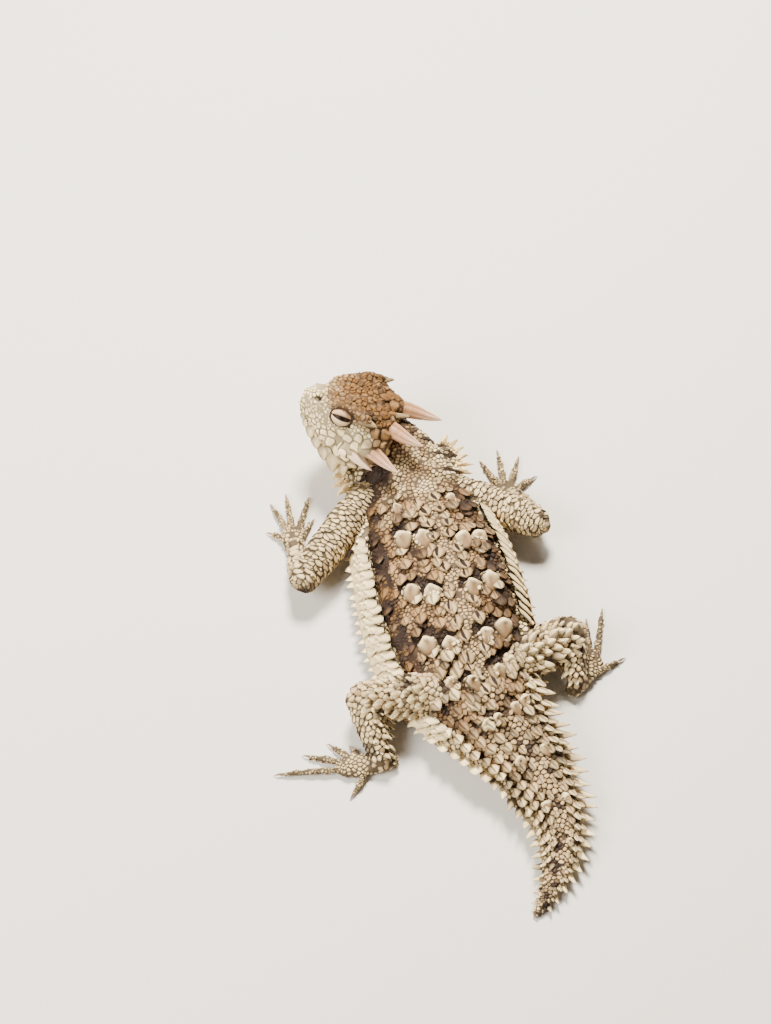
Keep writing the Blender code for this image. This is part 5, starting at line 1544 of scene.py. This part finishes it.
def set_sides(body):
    """Pointed scales along the sides of tail and trunk."""
    edge, upper = Leaves(body), Leaves(body)
    for row_number, (height, spacing, outward, knots) in enumerate(LEAF_ROWS):
        leaves = edge if height < 20 else upper
        stations, *sizes = zip(*knots)
        for side in (0, 1):
            draw = np.random.default_rng(10 * row_number + side)
            angle = 180 - height if side else height
            for t in even_stations(angle, stations[0], stations[-1], spacing):
                t = min(t + draw.uniform(-0.03, 0.03), TAIL_TIP - 0.05)
                root, ahead, out = on_side(t, angle + draw.uniform(-2.5, 2.5))
                length, width, keel = (np.interp(t, stations, size) * draw.uniform(0.88, 1.12)
                                       for size in sizes)
                aim = ahead * (1.0 - 0.6 * outward) + out * outward + (0, 0, 0.1 * outward)
                flat = unit(out * (1 - outward) + UP * outward)
                shape = "thorn" if 0 < height < 10 and (side == 0 or t > 11) else "leaf"
                leaves.add(root, aim, flat, length, width, keel, 0.2, shape, clear=True)
    edge.build("pointed_sides", 0.6, around=THORN_ROUND)
    upper.build("pointed_rows", 0.4, around=KEEL_SHADOW_ROUND)


def set_folds(body):
    """Thorny folds on both sides of the neck."""
    leaves = Leaves(body)
    for side, (centre, radii) in zip((-1, 1), NECK_FOLDS):
        draw = np.random.default_rng(40 + side)
        for row, lift in enumerate((-0.35, 0.05, 0.45, 0.8)):
            for turn in np.radians(np.arange(-70, 75, 20) + 8 * (row % 2)):
                way = unit((side * cos(turn), sin(turn), lift))
                root = np.array(centre) + way * radii
                aim = unit(way / np.array(radii) * 5 + (0, -0.6, 0.1))
                size = draw.uniform(0.8, 1.2) * (3.6 if row in (1, 2) else 2.1)
                leaves.add(root, aim, UP, size, 0.6 * size, 0.25 * size, 0.1, "thorn", clear=True)
    leaves.build("thorns_neck", 0.8, around=THORN_ROUND, dark=0, warm=0, pale=1, tone=0.1)


def set_limbs(body):
    """Thorns in rows along the arms and legs."""
    leaves = Leaves(body)
    for number, (limb, (top, bend, end)) in enumerate(LIMBS.items()):
        kind = limb.split("_")[1]
        draw = np.random.default_rng(60 + number)
        lengths = ((top, bend), (bend, end))
        for (start, stop), table, size in zip(lengths, LIMB_THORNS[kind], LIMB_RADII[kind]):
            start, stop = np.array(start), np.array(stop)
            heading, across, up = tube_frame(start, stop)
            rear = across if "right" in limb else -across
            for height, length, first in table:
                for share in np.arange(first, 1.0, 2.4 / np.linalg.norm(stop - start)):
                    turn = radians(height + draw.uniform(-8, 8))
                    way = rear * cos(turn) + up * sin(turn)
                    root = start + (stop - start) * (share + draw.uniform(-0.03, 0.03))
                    root = root + way * np.interp(share, *zip(*size))
                    long = length * draw.uniform(0.75, 1.2)
                    aim = heading + way * 0.45 + np.cross(way, heading) * draw.uniform(-0.5, 0.5)
                    leaves.add(root, aim, way, long, 0.72 * long, 0.2 * long, 0.15)
    leaves.build("thorns_limbs", 0.7)


class LIZARD_OT_spines(bpy.types.Operator):
    """Sets the large keeled scales of the back, the pointed scales of the tail, and all thorns"""
    bl_idname = "lizard.spines"
    bl_label = "Keeled scales and thorns"

    def execute(self, context):
        body = hide()
        set_back(body)
        set_lobes(body)
        set_sides(body)
        set_folds(body)
        set_limbs(body)
        return {"FINISHED"}


def fringe_blade(line, half, back):
    """Rings of one plate: its front edge tucked in, its rear edge raised."""
    up = unit(np.cross(unit(np.gradient(line, axis=0)), back))
    up = np.where(up[:, 2:] < 0, -up, up)
    shifts = ((-1.0, -0.4), (-0.6, 0.04), (-0.1, 0.26), (0.5, 0.48), (0.97, 0.56), (0.93, 0.26), (0.1, -0.35))
    thick = np.minimum(half, 1.0)[:, None]
    return np.stack([line + back * (half * shift)[:, None] + up * lift * thick for shift, lift in shifts], 1)


class LIZARD_OT_fringe(bpy.types.Operator):
    """Lays the broad overlapping plates of the side fringe, each ending in a flat spine"""
    bl_idname = "lizard.fringe"
    bl_label = "Fringe"

    def execute(self, context):
        body = hide()
        blocks, tips = [], []
        sides = ((0, 45), (1, 31))
        for (side, top), (row, (first, last)) in itertools.product(sides, enumerate(FRINGE_ROWS)):
            draw = np.random.default_rng(80 + side + 2 * row)
            first, last, upper = first * top, last * top, row < 2
            for t in even_stations(180 if side else 0, 2.95 + 0.14 * (row % 2), 9.35, 2.5):
                heights = np.interp((0, 0.2, 0.42, 0.64, 0.84, 1), (0, 1), (first, last))
                heights = heights + draw.uniform(-1.5, 1.5)
                slant = np.linspace(*((0.08, -0.14) if side else (-0.10, 0.14)), 6)
                line = trunk_point(t + slant + draw.uniform(-0.03, 0.03), 180 - heights if side else heights,
                                   0.2 - 0.07 * row)
                middle, _, _, back, _ = (part[0] for part in trunk_frame(np.array([t])))
                out = unit(line[-1] - middle)
                spread = np.interp(t, (3.0, 4.5, 8.0, 9.4), (2.0, 3.1, 3.1, 2.2)) * draw.uniform(0.8, 1.15)
                spread = spread * (0.42 if upper else 1.0) * (0.7 if side else 1.0)
                if in_limb(line[-1] + out * spread * 0.6):
                    continue
                tip = line[-1] + unit(out + back * (0.3 if side else 0.8) + (0, 0, 0.05)) * spread
                line = np.vstack([line, line[-1] + (tip - line[-1]) * 0.5 + (0, 0, 0.1)])
                half = np.array((0.9, 1.7, 2.0, 2.1, 2.0, 1.5, 0.75)) * draw.uniform(0.9, 1.1)
                blocks.append(fringe_blade(line, half * (0.85 if upper else 1), back))
                tips.append(tip)
        block = warped(np.array(blocks), 0.6, 1.9, 24)
        n, rings, sides, _ = block.shape
        # Painted shade on each plate's tucked front edge and its underside.
        rim = np.append(np.tile((0.05, 0.5, 1.0, 1.0, 0.9, 0.2, 0.0), rings), 1.0)
        pale = np.append(np.repeat(np.linspace(0.85, 1, rings), sides), 1.0)
        dark = np.append(np.repeat(np.linspace(0.2, 0, rings), sides), 0.0)
        coat("fringe_plates", block, np.array(tips), body.nearest(block[:, 3].mean(1)), rim,
             pale=pale[None], dark=dark[None], warm=0,
             tone=np.random.default_rng(84).uniform(-0.08, 0.12, n))
        return {"FINISHED"}


def make_horn(name, root, tip, width, depth):
    """One horn, with its keels along it and its growth rings."""
    sides, rings = 28, 26
    start = root - unit(tip - root) * 1.6
    u = np.linspace(0, 1, rings)
    bow = np.stack([np.sign(tip[0]) * 0.35 * np.sin(pi * u), 0 * u, 0.12 * np.sin(2 * pi * u)], 1)
    line = start + (tip - start) * u[:, None] + bow
    size = np.interp(u, (0, 0.3, 0.55, 0.8, 0.93, 1.0), (1.0, 0.93, 0.73, 0.42, 0.21, 0.03))
    wide, deep = sides_of(unit(np.gradient(line, axis=0)))
    theta = 2 * pi * np.arange(sides) / sides
    keels = 1 + 0.12 * np.abs(np.cos(theta)) ** 8 + 0.08 * np.cos(6 * theta + 0.6)
    growth = 1 + 0.018 * np.sin(u * 60 + 2 * np.sin(u * 9))[:, None]
    c, s = np.cos(theta) * keels, np.sin(theta) * keels
    block = (line[:, None] + wide[:, None] * (c[None] * size[:, None] * growth * width / 2)[..., None]
             + deep[:, None] * (s[None] * size[:, None] * growth * depth / 2)[..., None])
    made = make_object("horn_" + name + "_keratin", *closed_rings(from_head(block)), looks()["horn"])
    reach = np.append(np.repeat(u, sides), (0.0, 1.0))
    strip = np.tile(0.9 * smooth(-np.cos(6 * theta + 0.6), 0.1, 0.9), rings)
    strip = np.append(strip, (0.0, 0.5)) * (1 - 0.6 * ("cheek" in name))
    reach = np.clip(reach + 0.5 * ("cheek" in name), 0, 1)
    put_values(made.data, reach=reach, strip=strip)
    dress(made, "horn", "horn_" + name)


def make_brow_points():
    """The pale points at the back of both brows and in the middle of the nape."""
    rows = [((s * 8.7, 5.7, 6.9), (s * 9.9, 2.5, 7.1), 2.8, 1.3) for s in (-1, 1)]
    rows.append(((0.0, -0.6, 4.2), (0.0, -3.6, 4.9), 2.4, 0.9))
    head_points("brow_points", rows, "thorn")


def make_jaw_plates():
    """The plates that hang along the lower lip, the last of them pointed."""
    rows = [(mirrored(r, s), mirrored(t, s), w, d * 0.6) for s in (-1, 1) for r, t, w, d in JAW_PLATES]
    head_points("jaw_plates", rows, "tongue")


def head_points(name, rows, shape):
    """Pointed plates of the head, each from its root to its tip."""
    leaves = Leaves(hide())
    for root, tip, width, keel in rows:
        root, tip = np.array(root, float), np.array(tip, float)
        outward = UP if shape == "thorn" else root * (1, 0, 0.2)
        (root_at, tip_at), out = from_head((root, tip)), from_head([outward])[0] - HEAD_JOINT
        length = np.linalg.norm(tip - root) * 1.5
        start = root_at - unit(tip_at - root_at) * length * 0.28
        leaves.add(start, tip_at - root_at, unit(out), length, width * 1.15, keel, 0.05, shape)
    tan = 0.45 if shape == "thorn" else 0.0
    leaves.build(name, 0.3, pale=0.9 - tan, warm=tan, dark=0)


class LIZARD_OT_horns(bpy.types.Operator):
    """Shapes the six horns with their keels, and the pointed plates of the jaw"""
    bl_idname = "lizard.horns"
    bl_label = "Horns and jaw plates"

    def execute(self, context):
        for name, root, tip, width, depth, _ in HORNS:
            make_horn(name, np.array(root), np.array(tip), width, depth)
        make_brow_points()
        make_jaw_plates()
        return {"FINISHED"}


def eye_frame(side):
    """The eye's middle and its gaze, forward and up directions in the head's frame."""
    gaze = unit(mirrored(GAZE, side))
    forward = np.array((0, 1.0, 0))
    return mirrored(EYE, side), gaze, forward, unit(np.cross(gaze, forward)) * side


def make_eye(side, word):
    """The eyeball, turned to its gaze."""
    centre, gaze, forward, rise = eye_frame(side)
    block = ball((0, 0, 0), (EYE_RADIUS,) * 3, 30, 40)
    turned = centre + block[..., 0:1] * forward + block[..., 1:2] * rise + block[..., 2:3] * gaze
    verts, faces = closed_rings(from_head(turned))
    made = make_object("eyeball_" + word, verts, faces, looks()["eye"])
    ahead = np.append(block[..., 2].ravel(), (-EYE_RADIUS, EYE_RADIUS)) / EYE_RADIUS
    put_values(made.data, iris=hump(ahead, 0.72, 0.93, 0.03))
    dress(made, "eye", "eye_" + word)


def make_lids(side, word):
    """Upper and lower lid as thick curved folds over the eye, with a slit between them."""
    centre, gaze, forward, rise = eye_frame(side)
    rings, sides = 30, 24
    bearing = np.linspace(-0.86, 0.86, rings)[:, None]
    s = bearing / 0.9
    dome = 1 - s * s
    turn = np.linspace(0, 1, sides // 2)[None]
    for name, slit, outer, bulge in (
            ("upper", 0.02 * dome, 0.73 * np.sqrt(dome), 0.42),
            ("lower", -0.30 * dome**0.7 * (1 - 0.35 * s), -0.76 * np.sqrt(dome), 0.12)):
        pitch = slit + (outer - slit) * turn
        fat = bulge * np.sin(pi * turn) ** 0.6 - 0.12 * bell(turn, 0.08, 0.72)
        outer_r = LID_RADIUS - 0.05 + fat * np.sqrt(dome)
        radius = np.concatenate([outer_r, np.full((rings, sides // 2), LID_RADIUS - 0.42)], 1)
        pitch = np.concatenate([pitch, pitch[:, ::-1]], 1)
        way = (gaze * (np.cos(pitch) * np.cos(bearing))[..., None]
               + forward * (np.cos(pitch) * np.sin(bearing))[..., None] + rise * np.sin(pitch)[..., None])
        block = from_head(centre + way * radius[..., None])
        made = make_object(f"lid_{name}_{word}", *closed_rings(block), looks()["lid"])
        shade = np.interp(turn[0], (0, 0.06, 0.14, 0.64, 0.72, 0.8, 0.92, 1.0),
                          (0.05, 0.6, 1, 1, 0.4, 0.9, 0.8, 0.05))
        shade = np.tile(np.append(shade, np.zeros(sides // 2)), rings)
        put_values(made.data, rim=np.append(shade, (0.2, 0.2)), dark=0, warm=0.18,
                   pale=0.5 if name == "lower" else 0.05, tone=0)
        smoother = made.modifiers.new("fine", "SUBSURF")
        smoother.levels = smoother.render_levels = 1
        dress(made, "sand_skin")


class LIZARD_OT_eyes(bpy.types.Operator):
    """Sets the eyes and the lids that nearly close over them"""
    bl_idname = "lizard.eyes"
    bl_label = "Eyes and lids"

    def execute(self, context):
        for side, word in ((-1, "left"), (1, "right")):
            make_eye(side, word)
            make_lids(side, word)
        return {"FINISHED"}


def claw_rings(root, tip):
    """Rings of one hooked claw, and how far along it each lies."""
    heading = unit(np.array((*(tip - root), 0.0)))
    across = np.cross(heading, UP)
    end = np.array((*tip, 0.0)) - heading * CLAW_LENGTH
    u = np.linspace(0, 1, 12)
    arch = 0.62 + 0.42 * np.sin(u * 1.9) - 0.95 * u**2
    line = end + heading * (CLAW_LENGTH * 1.15 * u)[:, None] + UP * arch[:, None]
    size = np.interp(u, (0, 0.2, 0.6, 1.0), (0.42, 0.42, 0.25, 0.04))[:, None, None]
    theta = turns(CLAW_SIDES)
    block = (line[:, None] + across * (np.cos(theta) * 0.72)[None, :, None] * size
             + UP * np.sin(theta)[None, :, None] * size)
    block[..., 2] = np.maximum(block[..., 2], 0.02)
    return block, u


class LIZARD_OT_claws(bpy.types.Operator):
    """Puts a curved claw on every toe"""
    bl_idname = "lizard.claws"
    bl_label = "Claws"

    def execute(self, context):
        for limb, (_, _, digits) in PAWS.items():
            blocks, shares = zip(*(claw_rings(np.array(root), np.array(tip)) for root, tip in digits))
            made = make_object("claws_" + limb, *joined(blocks), looks()["claw"])
            reach = np.concatenate([np.append(np.repeat(u, CLAW_SIDES), (0.0, 1.0)) for u in shares])
            put_values(made.data, reach=reach, strip=0)
            dress(made, "horn")
        return {"FINISHED"}


def make_floor(stage):
    """A wide plain floor under the lizard."""
    made, _, shader = shader_of("studio_floor")
    shader.inputs["Base Color"].default_value = (*stage.floor, 1.0)
    shader.inputs["Roughness"].default_value = 0.9
    reach = 4000.0
    corners = [(-reach, -reach, 0), (reach, -reach, 0), (reach, reach, 0), (-reach, reach, 0)]
    floor = make_object("studio_floor", corners, [(0, 1, 2, 3)], made)


def make_lights(context, stage):
    """Light from all round, and a key and a fill lamp that aim at the lizard."""
    world = bpy.data.worlds.new("studio")
    world.use_nodes = True
    sky = world.node_tree.nodes["Background"]
    sky.inputs["Color"].default_value = (1.0, 0.97, 0.92, 1.0)
    sky.inputs["Strength"].default_value = stage.sky
    context.scene.world = world
    for name, place, size, share, tint in (("key", (0.06, 0.34, 0.52), 0.16, 1.0, (1.0, 0.93, 0.82)),
                                           ("fill", (-0.5, -0.12, 0.45), 0.35, 0.60, (1.0, 0.97, 0.90))):
        lamp = bpy.data.lights.new("studio_" + name, "AREA")
        lamp.energy, lamp.size, lamp.color = stage.key * share, size, tint
        made = link_new("studio_" + name, lamp)
        made.location = place
        made.rotation_euler = Vector(place).to_track_quat("Z", "Y").to_euler()


def make_camera(context):
    """Looks down on the back from behind the tail, as the photo does."""
    back = Vector((-0.1225, -0.5307, 0.8387)).normalized()
    right = Vector((0.9744, -0.2250, 0.0)).normalized()
    up = back.cross(right)
    pixel = 0.235 * MM          # width of one picture element at the origin
    distance = 0.9
    tall = 1024
    middle_x, middle_y = 385.5, 512.0
    origin_x, origin_y = 455.0, 640.0
    place = back * distance + right * ((middle_x - origin_x) * pixel) + up * ((origin_y - middle_y) * pixel)
    camera = bpy.data.cameras.new("camera")
    camera.sensor_width, camera.sensor_fit = 36.0, "AUTO"
    camera.lens = camera.sensor_width * distance / (tall * pixel)
    camera.clip_start, camera.clip_end = 0.05, 20.0
    made = link_new("camera", camera)
    made.matrix_world = Matrix((right, up, back)).transposed().to_4x4()
    made.location = place
    context.scene.camera = made


class LIZARD_OT_stage(bpy.types.Operator):
    """Sets the pale floor, the soft lights and the camera"""
    bl_idname = "lizard.stage"
    bl_label = "Studio"

    def execute(self, context):
        stage = context.scene.lizard_stage
        make_floor(stage)
        make_lights(context, stage)
        make_camera(context)
        return {"FINISHED"}


class LIZARD_PT_panel(bpy.types.Panel):
    """Lists the steps that dress the lizard"""
    bl_idname = "LIZARD_PT_panel"
    bl_label = "Horned Lizard"
    bl_space_type = "VIEW_3D"
    bl_region_type = "UI"
    bl_category = "Lizard"

    def draw(self, context):
        for group in ("lizard_hide", "lizard_horn", "lizard_stage"):
            settings = getattr(context.scene, group)
            box = self.layout.box()
            for name in settings.bl_rna.properties.keys():
                if name not in ("rna_type", "name"):
                    box.prop(settings, name)
        for step in STEPS:
            self.layout.operator(step.bl_idname)


SETTINGS = (LizardHideSettings, LizardHornSettings, LizardStageSettings)
STEPS = (LIZARD_OT_skin, LIZARD_OT_scales, LIZARD_OT_fringe, LIZARD_OT_spines, LIZARD_OT_horns,
         LIZARD_OT_eyes, LIZARD_OT_claws, LIZARD_OT_stage)


def register():
    for item in (*SETTINGS, *STEPS, LIZARD_PT_panel):
        bpy.utils.register_class(item)
    for name, item in zip(("lizard_hide", "lizard_horn", "lizard_stage"), SETTINGS):
        setattr(bpy.types.Scene, name, bpy.props.PointerProperty(type=item))


def unregister():
    for name in ("lizard_hide", "lizard_horn", "lizard_stage"):
        delattr(bpy.types.Scene, name)
    for item in reversed((*SETTINGS, *STEPS, LIZARD_PT_panel)):
        bpy.utils.unregister_class(item)


def main():
    """Builds every piece in order."""
    register()
    bpy.ops.lizard.skin()
    bpy.ops.lizard.scales()
    bpy.ops.lizard.fringe()
    bpy.ops.lizard.spines()
    bpy.ops.lizard.horns()
    bpy.ops.lizard.eyes()
    bpy.ops.lizard.claws()
    bpy.ops.lizard.stage()


if __name__ == "__main__":
    main()
